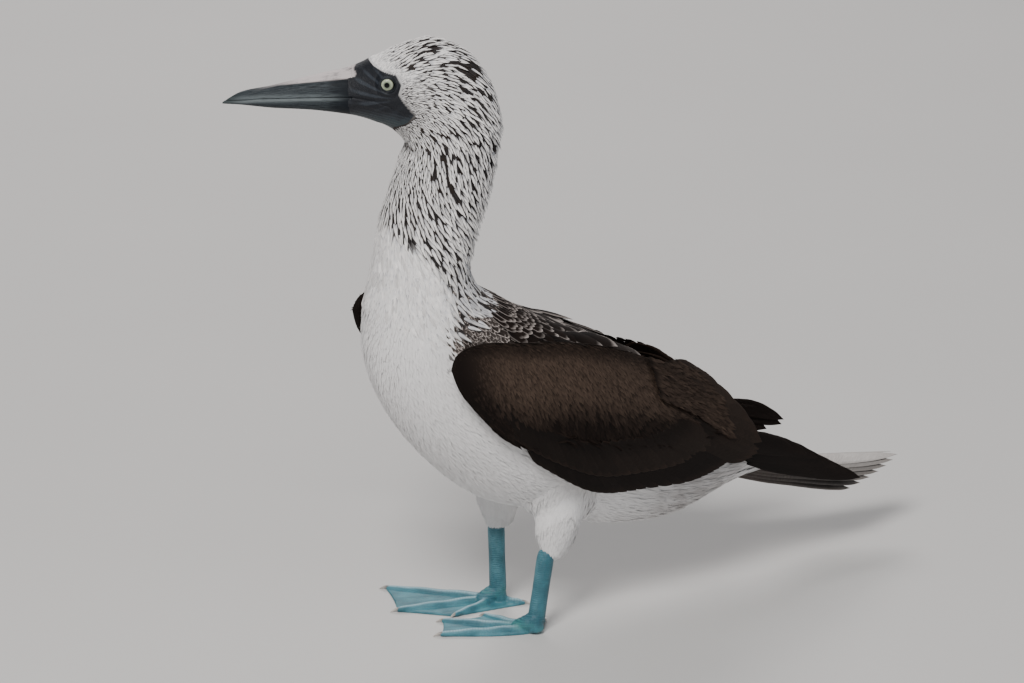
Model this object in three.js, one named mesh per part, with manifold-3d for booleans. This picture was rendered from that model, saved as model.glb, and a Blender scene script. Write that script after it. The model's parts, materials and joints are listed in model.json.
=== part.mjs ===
// A blue-footed booby standing at life size, as a still museum model.
// Millimetres, +Z up. The body points along -X and its left side faces -Y. The head looks to the bird's right.
// The body is one loft from the tail root to the bill tip, parted by thin cuts into torso, neck, head and bill.
// Wings, tail and feet are laid out flat, feather by feather and toe by toe, and then wrapped onto the body.
import * as THREE from "three";
import { mergeVertices } from "three/addons/utils/BufferGeometryUtils.js";
import Module from "manifold-3d";

const wasm = await Module();
wasm.setup();

// Driving dimensions
const GAP = 0.3; // between neighbouring pieces
const BODY_SIDES = 28;
const RINGS_PER_STATION = 2;
const HEAD_TURN = THREE.MathUtils.degToRad(-32); // the head looks to the bird's right
const TURN_AXIS_X = -70; // the upright axis in the neck that the head turns about
const TURN_FROM_Z = 282;
const TURN_TO_Z = 352;
const SIDES = { left: -1, right: 1 }; // the sign of Y

// The body in its own middle plane, from the tail coverts to the bill tip.
// back and front are [x, z] on the upper and under side, half is the half width.
// square is how full the shoulders of the upper side are (2 is round), egg is below 0 where the under side is wider.
const STATIONS = [
  { back: [242, 78], front: [242, 76], half: 0, square: 2, egg: 0 },
  { back: [215, 89], front: [210, 73.5], half: 16, square: 2, egg: 0 },
  { back: [185, 109], front: [171, 67.5], half: 25, square: 2, egg: 0 },
  { back: [151.5, 137], front: [112, 53.5], half: 38, square: 2.1, egg: 0 },
  { back: [117, 162], front: [56, 60], half: 48, square: 2.3, egg: -0.05 },
  { back: [84, 186.5], front: [5, 79.5], half: 57, square: 2.6, egg: -0.08 },
  { back: [50, 207], front: [-46, 102.5], half: 61.5, square: 3, egg: -0.08 },
  { back: [16, 224], front: [-87, 141.5], half: 62.5, square: 3.3, egg: -0.05 },
  { back: [-9, 239.5], front: [-113, 181.5], half: 59, square: 3, egg: 0 },
  { back: [-27, 252], front: [-124, 216], half: 52, square: 2.5, egg: 0 },
  { back: [-40.5, 263.5], front: [-124, 246.5], half: 44.5, square: 2.1, egg: 0 },
  { back: [-47, 281], front: [-118, 273], half: 39.5, square: 2, egg: 0 },
  { back: [-41, 303], front: [-112, 298.5], half: 37, square: 2, egg: 0 },
  { back: [-31, 332], front: [-104, 327.5], half: 35, square: 2, egg: 0 },
  { back: [-25.5, 360], front: [-96, 355], half: 32, square: 2, egg: 0 },
  { back: [-25, 385], front: [-92, 367], half: 30.5, square: 2, egg: 0.05 },
  { back: [-32, 410], front: [-98, 375.5], half: 28.5, square: 2, egg: 0.05 },
  { back: [-49, 431.5], front: [-104.5, 379.5], half: 26.5, square: 2, egg: 0 },
  { back: [-72, 440], front: [-110.5, 381.5], half: 23.5, square: 2, egg: -0.05 },
  { back: [-96.5, 435], front: [-116, 383.5], half: 19, square: 2, egg: -0.1 },
  { back: [-125, 421], front: [-125.5, 386], half: 13, square: 2, egg: -0.2 },
  { back: [-153, 414], front: [-153, 389.5], half: 9.5, square: 2, egg: -0.25 },
  { back: [-181.5, 406.5], front: [-181.5, 391], half: 7, square: 2, egg: -0.25 },
  { back: [-202.5, 402], front: [-202.5, 393], half: 4.4, square: 2, egg: -0.2 },
  { back: [-215.5, 394.5], front: [-215.5, 393.5], half: 0, square: 2, egg: 0 },
];

// Cuts in the middle plane, each a line of [x, z] points
const TAIL_CUT = [[205, 140], [176, 40]];
const NECK_CUT = [[-10, 258], [-150, 279]];
const HEAD_CUT = [[0, 368.5], [-90, 361.5], [-125, 358.5]];
const BILL_CUT = [[-125.5, 448], [-126.5, 372]];
const FEATHER_LINE = [
  [-117.5, 448], [-117, 427.5], [-111, 423], [-104.5, 420.5], [-95.5, 419], [-92, 413],
  [-94, 406.5], [-91, 401.5], [-83.5, 392], [-88, 386], [-98, 380], [-100, 363.5],
];
const MOUTH_LINE = [[-225, 394.5], [-212, 396], [-190, 398.5], [-159.5, 400], [-125.5, 401.5]];
const GAPE_LINE = [[-130, 401.5], [-112, 400.5], [-100, 397], [-91.5, 391]];
const GAPE_DEPTH = 1.6;
const GAPE_OPENING = 0.9;

const EYE = { x: -101, y: 14.2, z: 412.5, radius: 7.2, opening: 4.6, lid: 5.3, lidThickness: 1.1, reach: 6, forwardLean: 0.12 };

// Materials
const paint = (color, roughness) => new THREE.MeshStandardMaterial({ color, roughness, metalness: 0 });
const WHITE_FEATHER = paint(0xe9e6e2, 0.85);
const STREAKED_FEATHER = paint(0xb9afa8, 0.85);
const BROWN_FEATHER = paint(0x33241d, 0.75);
const TAIL_FEATHER = paint(0x8a807a, 0.75);
const BARE_FACE = paint(0x252c33, 0.5);
const BILL_HORN = paint(0x5a666e, 0.4);
const EYE_SURFACE = paint(0xd9dfc6, 0.15);
const BLUE_SKIN = paint(0x4f93a8, 0.5);
const CLAW_HORN = paint(0xb3aca2, 0.45);

const { smoothstep, lerp } = THREE.MathUtils;

// A closed three.js geometry as a solid: positions alone, with shared corners merged.
function solidOf(geometry) {
  const bare = new THREE.BufferGeometry();
  bare.setAttribute("position", geometry.getAttribute("position"));
  bare.setIndex(geometry.index);
  const merged = mergeVertices(bare, 1e-4);
  const vertProperties = new Float32Array(merged.attributes.position.array);
  const triVerts = new Uint32Array(merged.index.array);
  const solid = new wasm.Manifold(new wasm.Mesh({ numProp: 3, vertProperties, triVerts }));
  if (solid.volume() > 0) return solid;
  for (let i = 0; i < triVerts.length; i += 3) {
    [triVerts[i + 1], triVerts[i + 2]] = [triVerts[i + 2], triVerts[i + 1]];
  }
  return new wasm.Manifold(new wasm.Mesh({ numProp: 3, vertProperties, triVerts }));
}

// The surface of a solid as a three.js geometry.
function geometryOf(solid) {
  const mesh = solid.getMesh();
  const geometry = new THREE.BufferGeometry();
  geometry.setAttribute("position", new THREE.BufferAttribute(new Float32Array(mesh.vertProperties), 3));
  geometry.setIndex(new THREE.BufferAttribute(new Uint32Array(mesh.triVerts), 1));
  return geometry;
}

const united = (solids) => solids.reduce((all, solid) => all.add(solid));
const largest = (solid) => solid.decompose().sort((a, b) => b.volume() - a.volume())[0];

// Moves every corner of a geometry with place(x, y, z), which gives [x, y, z].
function reshaped(geometry, place) {
  const position = geometry.getAttribute("position");
  for (let i = 0; i < position.count; i++) {
    position.setXYZ(i, ...place(position.getX(i), position.getY(i), position.getZ(i)));
  }
  return geometry;
}

// A closed skin over rings along a length: pointAt(t, angle), t from 0 to 1, meets in a pole at both ends.
function skin(sides, rings, pointAt) {
  const geometry = new THREE.SphereGeometry(1, sides, rings);
  const position = geometry.getAttribute("position");
  const uv = geometry.getAttribute("uv");
  for (let i = 0; i < position.count; i++) {
    const t = 1 - uv.getY(i);
    const side = Math.round(uv.getX(i) * sides) % sides;
    const point = pointAt(t, (side / sides) * 2 * Math.PI);
    const opposite = pointAt(t, (side / sides + 0.5) * 2 * Math.PI);
    const atPole = t < 1e-6 || t > 1 - 1e-6;
    position.setXYZ(i, ...(atPole ? point.map((value, axis) => (value + opposite[axis]) / 2) : point));
  }
  return geometry;
}

// The body loft, grown outwards by an even margin.
const upperSide = new THREE.CatmullRomCurve3(STATIONS.map((s) => new THREE.Vector3(s.back[0], s.half, s.back[1])));
const underSide = new THREE.CatmullRomCurve3(STATIONS.map((s) => new THREE.Vector3(s.front[0], s.egg, s.front[1])));
const fullness = new THREE.CatmullRomCurve3(STATIONS.map((s, i) => new THREE.Vector3(i, s.square, 0)));
function bodyPoint(t, angle, margin = 0) {
  const up = upperSide.getPoint(t);
  const down = underSide.getPoint(t);
  const half = Math.max(up.y, 0);
  const middle = [(up.x + down.x) / 2, (up.z + down.z) / 2];
  const depth = Math.hypot(up.x - down.x, up.z - down.z) / 2;
  const power = Math.cos(angle) > 0 ? 2 / fullness.getPoint(t).y : 1;
  const lift = Math.sign(Math.cos(angle)) * Math.abs(Math.cos(angle)) ** power;
  const reach = Math.sign(Math.sin(angle)) * Math.abs(Math.sin(angle)) ** power;
  const grown = lift * (1 + margin / Math.max(depth, 1));
  const across = reach * (half + margin) * (1 + down.y * lift);
  return [middle[0] + (up.x - middle[0]) * grown, across, middle[1] + (up.z - middle[1]) * grown];
}

function bodySolid(margin) {
  const rings = (STATIONS.length - 1) * RINGS_PER_STATION;
  return solidOf(skin(BODY_SIDES, rings, (t, angle) => bodyPoint(t, angle, margin)));
}

// A thin upright wall across the body, along a line of [x, z] points in its middle plane.
function wall(line, thickness, width) {
  const offset = (sign) => line.map(([x, z], i) => {
    const [ax, az] = line[Math.max(i - 1, 0)];
    const [bx, bz] = line[Math.min(i + 1, line.length - 1)];
    const length = Math.hypot(bx - ax, bz - az);
    const reach = (sign * thickness) / 2 / length;
    return new THREE.Vector2(x - (bz - az) * reach, z + (bx - ax) * reach);
  });
  const shape = new THREE.Shape([...offset(1), ...offset(-1).reverse()]);
  const geometry = new THREE.ExtrudeGeometry(shape, { depth: width, bevelEnabled: false, steps: 1 });
  return solidOf(reshaped(geometry, (x, z, y) => [x, y - width / 2, z]));
}

// Cuts a solid along a line and gives its two largest pieces, the one further along the axis first.
function parted(solid, line, axis) {
  const pieces = solid.subtract(wall(line, GAP, 200)).decompose();
  const [one, two] = pieces.sort((a, b) => b.volume() - a.volume());
  return [one, two].sort((a, b) => b.boundingBox().max[axis] - a.boundingBox().max[axis]);
}

// Bends the neck so that the head looks to the side.
function turnedAt(x, y, z) {
  const angle = HEAD_TURN * smoothstep(z, TURN_FROM_Z, TURN_TO_Z);
  const dx = x - TURN_AXIS_X;
  return [
    TURN_AXIS_X + dx * Math.cos(angle) - y * Math.sin(angle),
    dx * Math.sin(angle) + y * Math.cos(angle),
    z,
  ];
}

// Feathers
// A flat vane in the plane of its first two axes: root at [0, 0], tip at [length, 0], lower face at height 0.
function vane({ length, width, thickness, point = 0.5, segments = 4 }) {
  const half = width / 2;
  const shape = new THREE.Shape();
  shape.moveTo(0, -half * 0.6);
  shape.bezierCurveTo(length * 0.35, -half * 1.1, length * (1 - 0.3 * point), -half * 1.15, length, -half * 0.08);
  shape.lineTo(length, half * 0.08);
  shape.bezierCurveTo(length * (1 - 0.3 * point), half * 1.15, length * 0.35, half * 1.1, 0, half * 0.6);
  return new THREE.ExtrudeGeometry(shape, {
    depth: thickness,
    bevelEnabled: false,
    curveSegments: segments,
    steps: 1,
  });
}

// Lays a flat vane on a plane chart: root [u, v], heading in degrees, at a height over the chart.
function laid(geometry, root, heading, height) {
  geometry.rotateZ(THREE.MathUtils.degToRad(heading));
  geometry.translate(root[0], root[1], height);
  return geometry;
}

// Wings
const WING = {
  bendX: -94,
  tipX: 292,
  axisZ: 172, // height of the wing's long axis over x = 0
  axisSlope: -0.37,
  widest: 68.5,
  atBend: 62,
  atTip: 26,
  upperCurl: 0.0045,
  lowerCurl: 0.0026,
  upperTilt: 0.5,
  lowerTilt: 0.25,
};
const VANE = 1.3; // thickness of a flight feather at its shaft

// Distance of the folded wing from the body's middle plane, over the point [x, z] of its side view.
function wingSpread(x, z) {
  const back = THREE.MathUtils.clamp(x / WING.tipX, 0, 1);
  const ahead = THREE.MathUtils.clamp(x / WING.bendX, 0, 1.2);
  const along = x > 0
    ? lerp(WING.widest, WING.atTip, smoothstep(back, 0, 1))
    : WING.widest - (WING.widest - WING.atBend) * ahead * ahead;
  const over = z - (WING.axisZ + WING.axisSlope * x);
  const curl = over > 0 ? WING.upperCurl : WING.lowerCurl;
  const tilt = over > 0 ? WING.upperTilt * smoothstep(x, 0, 160) : WING.lowerTilt * smoothstep(x, 40, 190);
  return along - curl * over * over - tilt * over;
}

// The padded part of the wing: arm, hand and small coverts, [x, upper z, lower z].
const ARM = [
  [-94, 224, 222],
  [-88, 234, 205],
  [-69, 238, 180],
  [-36, 233, 145],
  [2, 226, 121],
  [42, 213, 107],
  [82, 194, 104],
  [116, 173, 107],
  [142, 152, 120],
];
const ARM_OUT = 4.5;
const ARM_IN = 7;
const armUpper = new THREE.CatmullRomCurve3(ARM.map(([x, upper]) => new THREE.Vector3(x, 0, upper)));
const armLower = new THREE.CatmullRomCurve3(ARM.map(([x, , lower]) => new THREE.Vector3(x, 0, lower)));
function armPoint(t, angle) {
  const up = armUpper.getPoint(t);
  const low = armLower.getPoint(t);
  const x = (up.x + low.x) / 2;
  const half = (up.z - low.z) / 2;
  const z = (up.z + low.z) / 2 + half * Math.cos(angle);
  const fade = Math.sqrt(Math.max(0, 1 - (2 * t - 1) ** 4));
  const out = Math.sin(angle) * fade * (Math.sin(angle) > 0 ? ARM_OUT : ARM_IN);
  return [x, z, out];
}

// Flight feathers by tier: tips [x, z] from the first to the last, spread evenly along a curve.
const PRIMARIES = {
  count: 5, tips: [[285, 55], [262, 63], [240, 71], [218, 79], [198, 87]],
  heading: [-14, -17], length: [148, 96], width: [15, 20], height: [-4, -1.4], point: 0.35,
};
const SECONDARIES = {
  count: 12, tips: [[-18, 137], [4, 122], [26, 109], [44, 104], [70, 102], [108, 99], [129, 101], [147, 105]],
  heading: [-38, -18], length: [50, 84], width: [22, 21], height: [-1.6, 0.8], point: 0.45,
};
const TERTIALS = {
  count: 4, tips: [[164, 101], [183, 107], [176, 124], [158, 143]],
  heading: [-24, -32], length: [84, 62], width: [23, 23], height: [0.8, 2.2], point: 0.6,
};
const GREATER_COVERTS = {
  count: 9, tips: [[-28, 154], [2, 136], [32, 122], [66, 117], [100, 115], [130, 120]],
  heading: [-42, -22], length: [38, 48], width: [21, 21], height: [2.2, 3.2], point: 0.5,
};
const TIERS = [PRIMARIES, SECONDARIES, TERTIALS, GREATER_COVERTS];

function tierVanes(tier) {
  const curve = new THREE.CatmullRomCurve3(tier.tips.map(([x, z]) => new THREE.Vector3(x, z, 0)));
  return Array.from({ length: tier.count }, (_, i) => {
    const share = tier.count > 1 ? i / (tier.count - 1) : 0;
    const tip = curve.getPoint(share);
    const heading = lerp(...tier.heading, share);
    const length = lerp(...tier.length, share);
    const flat = vane({ length, width: lerp(...tier.width, share), thickness: VANE, point: tier.point });
    const angle = THREE.MathUtils.degToRad(heading);
    const root = [tip.x - length * Math.cos(angle), tip.y - length * Math.sin(angle)];
    return laid(flat, root, heading, lerp(...tier.height, share));
  });
}

// One folded wing: bend moved forward and raised, the rest raised, tip drawn in and lifted.
function wingSolid(side, fold) {
  const wrap = (x, z, out) => {
    const drawn = x - fold.drawnIn * smoothstep(x, 110, WING.tipX) - fold.forward * smoothstep(-x, -20, 90);
    const raised = lerp(fold.bendRaised, fold.raised, smoothstep(x, WING.bendX, 40));
    const lifted = fold.tipLifted * smoothstep(x, 130, 270);
    return [drawn, side * (wingSpread(x, z) + out), z + raised + lifted];
  };
  const arm = solidOf(reshaped(skin(16, 16, armPoint), wrap));
  const vanes = TIERS.flatMap(tierVanes).map((flat) => solidOf(reshaped(flat, wrap)));
  return united([arm, ...vanes]);
}

// Tail
const TAIL = {
  rootX: 195,
  rootZ: 81,
  pairs: 6,
  centre: 136, // length of the middle pair
  outer: 76, // length of the outermost pair
  spread: 6, // degrees from the middle to the outermost
  width: [18, 15],
  dropPerLength: 0.145,
  dropPerPair: 1.3,
  roof: 0.5,
};
function tailSolid(core) {
  const wrap = (x, y, over) => {
    const ridge = TAIL.rootZ - TAIL.dropPerLength * (x - TAIL.rootX);
    return [x, y, ridge - TAIL.roof * Math.hypot(y, 6) + over];
  };
  const vanes = [];
  for (let pair = 0; pair < TAIL.pairs; pair++) {
    const share = pair / (TAIL.pairs - 1);
    for (const side of [-1, 1]) {
      const length = lerp(TAIL.centre, TAIL.outer, share ** 1.2);
      const flat = vane({ length, width: lerp(...TAIL.width, share), thickness: 1.2, point: 0.5 });
      const heading = side * lerp(1, TAIL.spread, share);
      const height = 3 - pair * TAIL.dropPerPair - (side > 0 ? 0.5 : 0);
      vanes.push(laid(flat, [TAIL.rootX, side * lerp(2, 9, share)], heading, height));
    }
  }
  return united([core, ...vanes.map((flat) => solidOf(reshaped(flat, wrap)))]);
}

// Legs and feet
// The bare leg's height is from the floor to the feathers of the thigh.
// Toes of each foot: degrees inwards from straight ahead, then length.
const LEGS = {
  left: {
    ankle: [-11, -33],
    top: [1.4, -33],
    height: 57,
    thigh: { hip: 18, behind: 4.5 },
    toes: { outer: [26, 71], middle: [48, 72], inner: [72, 50], hind: [146, 26] },
  },
  right: {
    ankle: [-3.4, 29],
    top: [-2.9, 29],
    height: 62,
    thigh: { hip: 5, behind: 1.5 },
    toes: { outer: [-49.5, 89], middle: [-18, 78], inner: [11, 45], hind: [139, 27] },
  },
};
const THIGH = { hip: 19, foot: 8, swell: 4.5 };
const TOE_RADIUS = { outer: 3.4, middle: 3.8, inner: 3.3, hind: 2.6 };
const WEB_THICKNESS = 1.6;
const CLAW = { length: 8, radius: 2, sunk: 2.5 };
const ANKLE_TOP = 13;
const HEEL = 9;

// A tapering tube between two points, oval where broad differs from 1, with radius given along its length.
function limb(from, to, radiusAt, broad, sides, rings) {
  const a = new THREE.Vector3(...from);
  const b = new THREE.Vector3(...to);
  const along = b.clone().sub(a).normalize();
  const level = Math.abs(along.z) > 0.7 ? new THREE.Vector3(0, 1, 0) : new THREE.Vector3(0, 0, 1);
  const across = new THREE.Vector3().crossVectors(level, along).normalize();
  const third = new THREE.Vector3().crossVectors(along, across);
  return skin(sides, rings, (t, angle) => {
    const end = Math.sqrt(Math.max(0, 1 - (2 * t - 1) ** 8));
    const radius = radiusAt(t) * end;
    return a.clone().lerp(b, t)
      .addScaledVector(across, Math.cos(angle) * radius * broad)
      .addScaledVector(third, Math.sin(angle) * radius)
      .toArray();
  });
}

// A point on the floor under a toe. The foot points along -X, and inwards is away from the side's own sign of Y.
function underToe([bearing, length], side, shortened = 0) {
  const angle = THREE.MathUtils.degToRad(bearing);
  return [-Math.cos(angle) * (length - shortened), -side * Math.sin(angle) * (length - shortened)];
}

function footSolids(side, leg) {
  const above = solidOf(new THREE.BoxGeometry(400, 400, 60).translate(0, 0, 30 + ANKLE_TOP));
  const below = solidOf(new THREE.BoxGeometry(400, 400, 60).translate(0, 0, -30));
  const toes = Object.entries(leg.toes);
  const claws = toes.map(([name, toe]) => {
    const [rootX, rootY] = underToe(toe, side, CLAW.length);
    const [tipX, tipY] = underToe(toe, side);
    const made = (margin) => solidOf(limb(
      [rootX, rootY, 2.2], [tipX, tipY, 0.9], (t) => (CLAW.radius + margin) * (1.05 - 0.8 * t), 0.8, 8, 5));
    return { name, claw: made(0).subtract(below), socket: made(GAP) };
  });
  const bones = toes.map(([name, toe]) => {
    const [x, y] = underToe(toe, side, CLAW.length - CLAW.sunk);
    const knuckled = (t) => TOE_RADIUS[name] * (1.08 - 0.4 * t + 0.1 * Math.cos(t * 6 * Math.PI));
    return solidOf(limb([2, 0, 3.2], [x, y, 2], knuckled, 1.1, 8, 10));
  });
  const boss = solidOf(limb([3, 0, 0], [1, 0, 20], () => 7.6, 0.85, 12, 6));
  const tips = toes.map(([, toe]) => underToe(toe, side, CLAW.length));
  const shape = new THREE.Shape();
  shape.moveTo(HEEL, 0);
  shape.quadraticCurveTo(-6, side * 8, ...tips[0]);
  for (let i = 1; i < tips.length; i++) {
    const [last, next] = [tips[i - 1], tips[i]];
    shape.quadraticCurveTo((last[0] + next[0]) * 0.45, (last[1] + next[1]) * 0.45, ...next);
  }
  const web = solidOf(new THREE.ExtrudeGeometry(shape, {
    depth: WEB_THICKNESS,
    bevelEnabled: false,
    curveSegments: 5,
    steps: 1,
  }));
  const flesh = united([web, boss, ...bones]).subtract(above).subtract(below);
  const foot = largest(claws.reduce((left, { socket }) => left.subtract(socket), flesh));
  return { foot, claws };
}

function tarsusSolid(leg) {
  const shaft = solidOf(limb(
    [leg.ankle[0] + 2.5, leg.ankle[1], 4], [...leg.top, leg.height + 8],
    (t) => 7 - 0.6 * Math.sin(Math.PI * t), 0.95, 14, 12));
  const room = new THREE.BoxGeometry(60, 60, leg.height - GAP - (ANKLE_TOP + GAP));
  room.translate(leg.ankle[0], leg.ankle[1], (leg.height + ANKLE_TOP) / 2);
  return shaft.intersect(solidOf(room));
}

function thighSolid(leg, side, margin) {
  const { hip, behind } = leg.thigh;
  const radiusAt = (t) => lerp(THIGH.hip, THIGH.foot, smoothstep(t, 0.1, 1))
    + THIGH.swell * Math.sin(Math.PI * t ** 1.3) + margin;
  const lowest = [leg.top[0] + behind, leg.top[1], leg.height - 6];
  const feathered = solidOf(limb([hip, side * 30, 122], lowest, radiusAt, 1.22, 16, 10));
  const cut = solidOf(new THREE.BoxGeometry(200, 200, 60).translate(0, 0, leg.height - 30));
  return feathered.subtract(cut);
}

// Head: lids, eyes, the bare face and the gape line
function headPieces(head) {
  const [face, feathered] = parted(head, FEATHER_LINE, 0).reverse();
  let skinned = face;
  const eyes = Object.entries(SIDES).map(([name, side]) => {
    const ball = (radius) => solidOf(
      new THREE.SphereGeometry(radius, 16, 10).translate(EYE.x, side * EYE.y, EYE.z));
    const lid = new THREE.TorusGeometry(EYE.lid, EYE.lidThickness, 6, 16);
    lid.rotateX(Math.PI / 2);
    lid.rotateZ(side * EYE.forwardLean);
    lid.translate(EYE.x, side * (EYE.y + EYE.reach), EYE.z);
    const opening = new THREE.CylinderGeometry(EYE.opening, EYE.opening, 20, 16);
    opening.translate(EYE.x, side * (EYE.y + EYE.reach + 8), EYE.z);
    skinned = skinned.subtract(solidOf(opening)).add(solidOf(lid)).subtract(ball(EYE.radius + GAP));
    return [`eye_${name}`, ball(EYE.radius)];
  });
  const gape = wall(GAPE_LINE, GAPE_OPENING, 200);
  const core = solidOf(skin(BODY_SIDES, (STATIONS.length - 1) * RINGS_PER_STATION,
    (t, angle) => bodyPoint(t, angle, -GAPE_DEPTH)));
  return { face: largest(skinned.subtract(gape.subtract(core))), feathered, eyes };
}

// Assembly
const bird = new THREE.Group();
const headGroup = new THREE.Group();
bird.add(headGroup);

function addNode(name, solid, material, group = bird, place = null) {
  const geometry = geometryOf(largest(solid));
  if (place) reshaped(geometry, place);
  geometry.computeVertexNormals();
  const mesh = new THREE.Mesh(geometry, material);
  mesh.name = name;
  group.add(mesh);
  return mesh;
}

const [tailCore, trunk] = parted(bodySolid(0), TAIL_CUT, 0);
const [upperBody, torso] = parted(trunk, NECK_CUT, 2);
const [headAndBill, neck] = parted(upperBody, HEAD_CUT, 2);
const [headOnly, bill] = parted(headAndBill, BILL_CUT, 0);
const [billUpper, billLower] = parted(bill, MOUTH_LINE, 2);
const { face, feathered, eyes } = headPieces(headOnly);

addNode("torso", torso, WHITE_FEATHER);
addNode("neck", neck, STREAKED_FEATHER, bird, turnedAt);
addNode("head", feathered, STREAKED_FEATHER, headGroup);
addNode("face_mask", face, BARE_FACE, headGroup);
addNode("bill_upper", billUpper, BILL_HORN, headGroup);
addNode("bill_lower", billLower, BILL_HORN, headGroup);
for (const [name, solid] of eyes) addNode(name, solid, EYE_SURFACE, headGroup);
addNode("tail", tailSolid(tailCore), TAIL_FEATHER);

// The head turns as one piece about the upright axis in the neck.
headGroup.position.set(TURN_AXIS_X * (1 - Math.cos(HEAD_TURN)), -TURN_AXIS_X * Math.sin(HEAD_TURN), 0);
headGroup.rotation.z = HEAD_TURN;

const WING_FOLD = {
  left: { forward: 0, bendRaised: 0, raised: 0, drawnIn: 0, tipLifted: 0 },
  right: { forward: 8, bendRaised: 11, raised: -1, drawnIn: 42, tipLifted: 40 },
};
const bodyRoom = bodySolid(GAP);
for (const [name, side] of Object.entries(SIDES)) {
  const leg = LEGS[name];
  const thigh = thighSolid(leg, side, 0).subtract(bodyRoom);
  const thighRoom = thighSolid(leg, side, GAP);
  const wing = wingSolid(side, WING_FOLD[name]).subtract(bodyRoom).subtract(thighRoom);
  addNode(`wing_${name}`, wing, BROWN_FEATHER);
  addNode(`thigh_${name}`, thigh, WHITE_FEATHER);
  addNode(`tarsus_${name}`, tarsusSolid(leg), BLUE_SKIN);
  const footGroup = new THREE.Group();
  footGroup.position.set(leg.ankle[0], leg.ankle[1], 0);
  bird.add(footGroup);
  const { foot, claws } = footSolids(side, leg);
  addNode(`foot_${name}`, foot, BLUE_SKIN, footGroup);
  for (const { name: toe, claw } of claws) addNode(`claw_${name}_${toe}`, claw, CLAW_HORN, footGroup);
}

// The origin is the middle of the whole bird's box, on the floor.
bird.updateMatrixWorld(true);
const box = new THREE.Box3().setFromObject(bird, true);
const middle = box.getCenter(new THREE.Vector3());
bird.position.set(-middle.x, -middle.y, -box.min.z);

export default bird;
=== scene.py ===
"""A blue-footed booby at life size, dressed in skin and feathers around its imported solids.

Shapes are worked out in the maker's own millimetres, as the solids are, and placed in metres at the end.
"""

import json
import logging
import math
from dataclasses import dataclass, field
from enum import Enum
from typing import Callable

import bpy
import numpy as np
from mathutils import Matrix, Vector
from mathutils.bvhtree import BVHTree
from mathutils.kdtree import KDTree

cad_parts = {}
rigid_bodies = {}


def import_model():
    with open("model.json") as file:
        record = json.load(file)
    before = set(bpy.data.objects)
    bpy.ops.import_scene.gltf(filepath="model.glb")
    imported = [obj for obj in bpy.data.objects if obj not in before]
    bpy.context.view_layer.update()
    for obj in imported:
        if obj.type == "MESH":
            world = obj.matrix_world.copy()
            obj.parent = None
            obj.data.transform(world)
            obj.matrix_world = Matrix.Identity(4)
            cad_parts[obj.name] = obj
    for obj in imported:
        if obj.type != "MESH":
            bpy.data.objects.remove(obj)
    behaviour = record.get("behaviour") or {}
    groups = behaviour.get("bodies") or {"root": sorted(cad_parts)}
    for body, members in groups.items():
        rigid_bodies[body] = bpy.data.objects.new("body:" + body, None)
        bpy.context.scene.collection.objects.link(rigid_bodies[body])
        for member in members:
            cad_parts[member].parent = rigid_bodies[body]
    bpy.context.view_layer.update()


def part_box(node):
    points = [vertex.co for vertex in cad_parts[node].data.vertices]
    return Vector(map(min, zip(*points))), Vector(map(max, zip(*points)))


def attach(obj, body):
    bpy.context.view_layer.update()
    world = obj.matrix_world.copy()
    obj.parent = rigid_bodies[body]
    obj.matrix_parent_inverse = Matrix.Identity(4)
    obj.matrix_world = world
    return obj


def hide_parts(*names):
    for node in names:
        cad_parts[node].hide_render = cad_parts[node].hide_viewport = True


log = logging.getLogger("booby")
Array = np.ndarray
Piece = bpy.types.Object
Material = bpy.types.Material

# Driving sizes, with lengths in millimetres and angles in radians
HEAD_TURN = math.radians(-32)
TURN_AXIS_X = -70.0
TURN_FROM_Z = 282.0
TURN_TO_Z = 352.0
BILL_SHARE = 20 / 24  # where the bill begins along the loft
BAKE_PATCH = 0.003  # the size of one feather in the bake map
SEED = 41

# The body in its own middle plane: back x, back z, front x, front z, half width, fullness, egg
STATIONS = (
    (242, 78, 242, 76, 0, 2, 0),
    (215, 89, 210, 73.5, 16, 2, 0),
    (185, 109, 171, 67.5, 25, 2, 0),
    (151.5, 137, 112, 53.5, 38, 2.1, 0),
    (117, 162, 56, 60, 48, 2.3, -0.05),
    (84, 186.5, 5, 79.5, 57, 2.6, -0.08),
    (50, 207, -46, 102.5, 61.5, 3, -0.08),
    (16, 224, -87, 141.5, 62.5, 3.3, -0.05),
    (-9, 239.5, -113, 181.5, 59, 3, 0),
    (-27, 252, -124, 216, 52, 2.5, 0),
    (-40.5, 263.5, -124, 246.5, 44.5, 2.1, 0),
    (-47, 281, -118, 273, 39.5, 2, 0),
    (-41, 303, -112, 298.5, 37, 2, 0),
    (-31, 332, -104, 327.5, 35, 2, 0),
    (-25.5, 360, -96, 355, 32, 2, 0),
    (-25, 385, -92, 367, 30.5, 2, 0.05),
    (-32, 410, -98, 375.5, 28.5, 2, 0.05),
    (-49, 431.5, -104.5, 379.5, 26.5, 2, 0),
    (-72, 440, -110.5, 381.5, 23.5, 2, -0.05),
    (-96.5, 435, -116, 383.5, 19, 2, -0.1),
    (-125, 421, -125.5, 386, 13, 2, -0.2),
    (-153, 414, -153, 389.5, 9.5, 2, -0.25),
    (-181.5, 406.5, -181.5, 391, 7, 2, -0.25),
    (-202.5, 402, -202.5, 393, 4.4, 2, -0.2),
    (-215.5, 394.5, -215.5, 393.5, 0, 2, 0),
)

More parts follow.
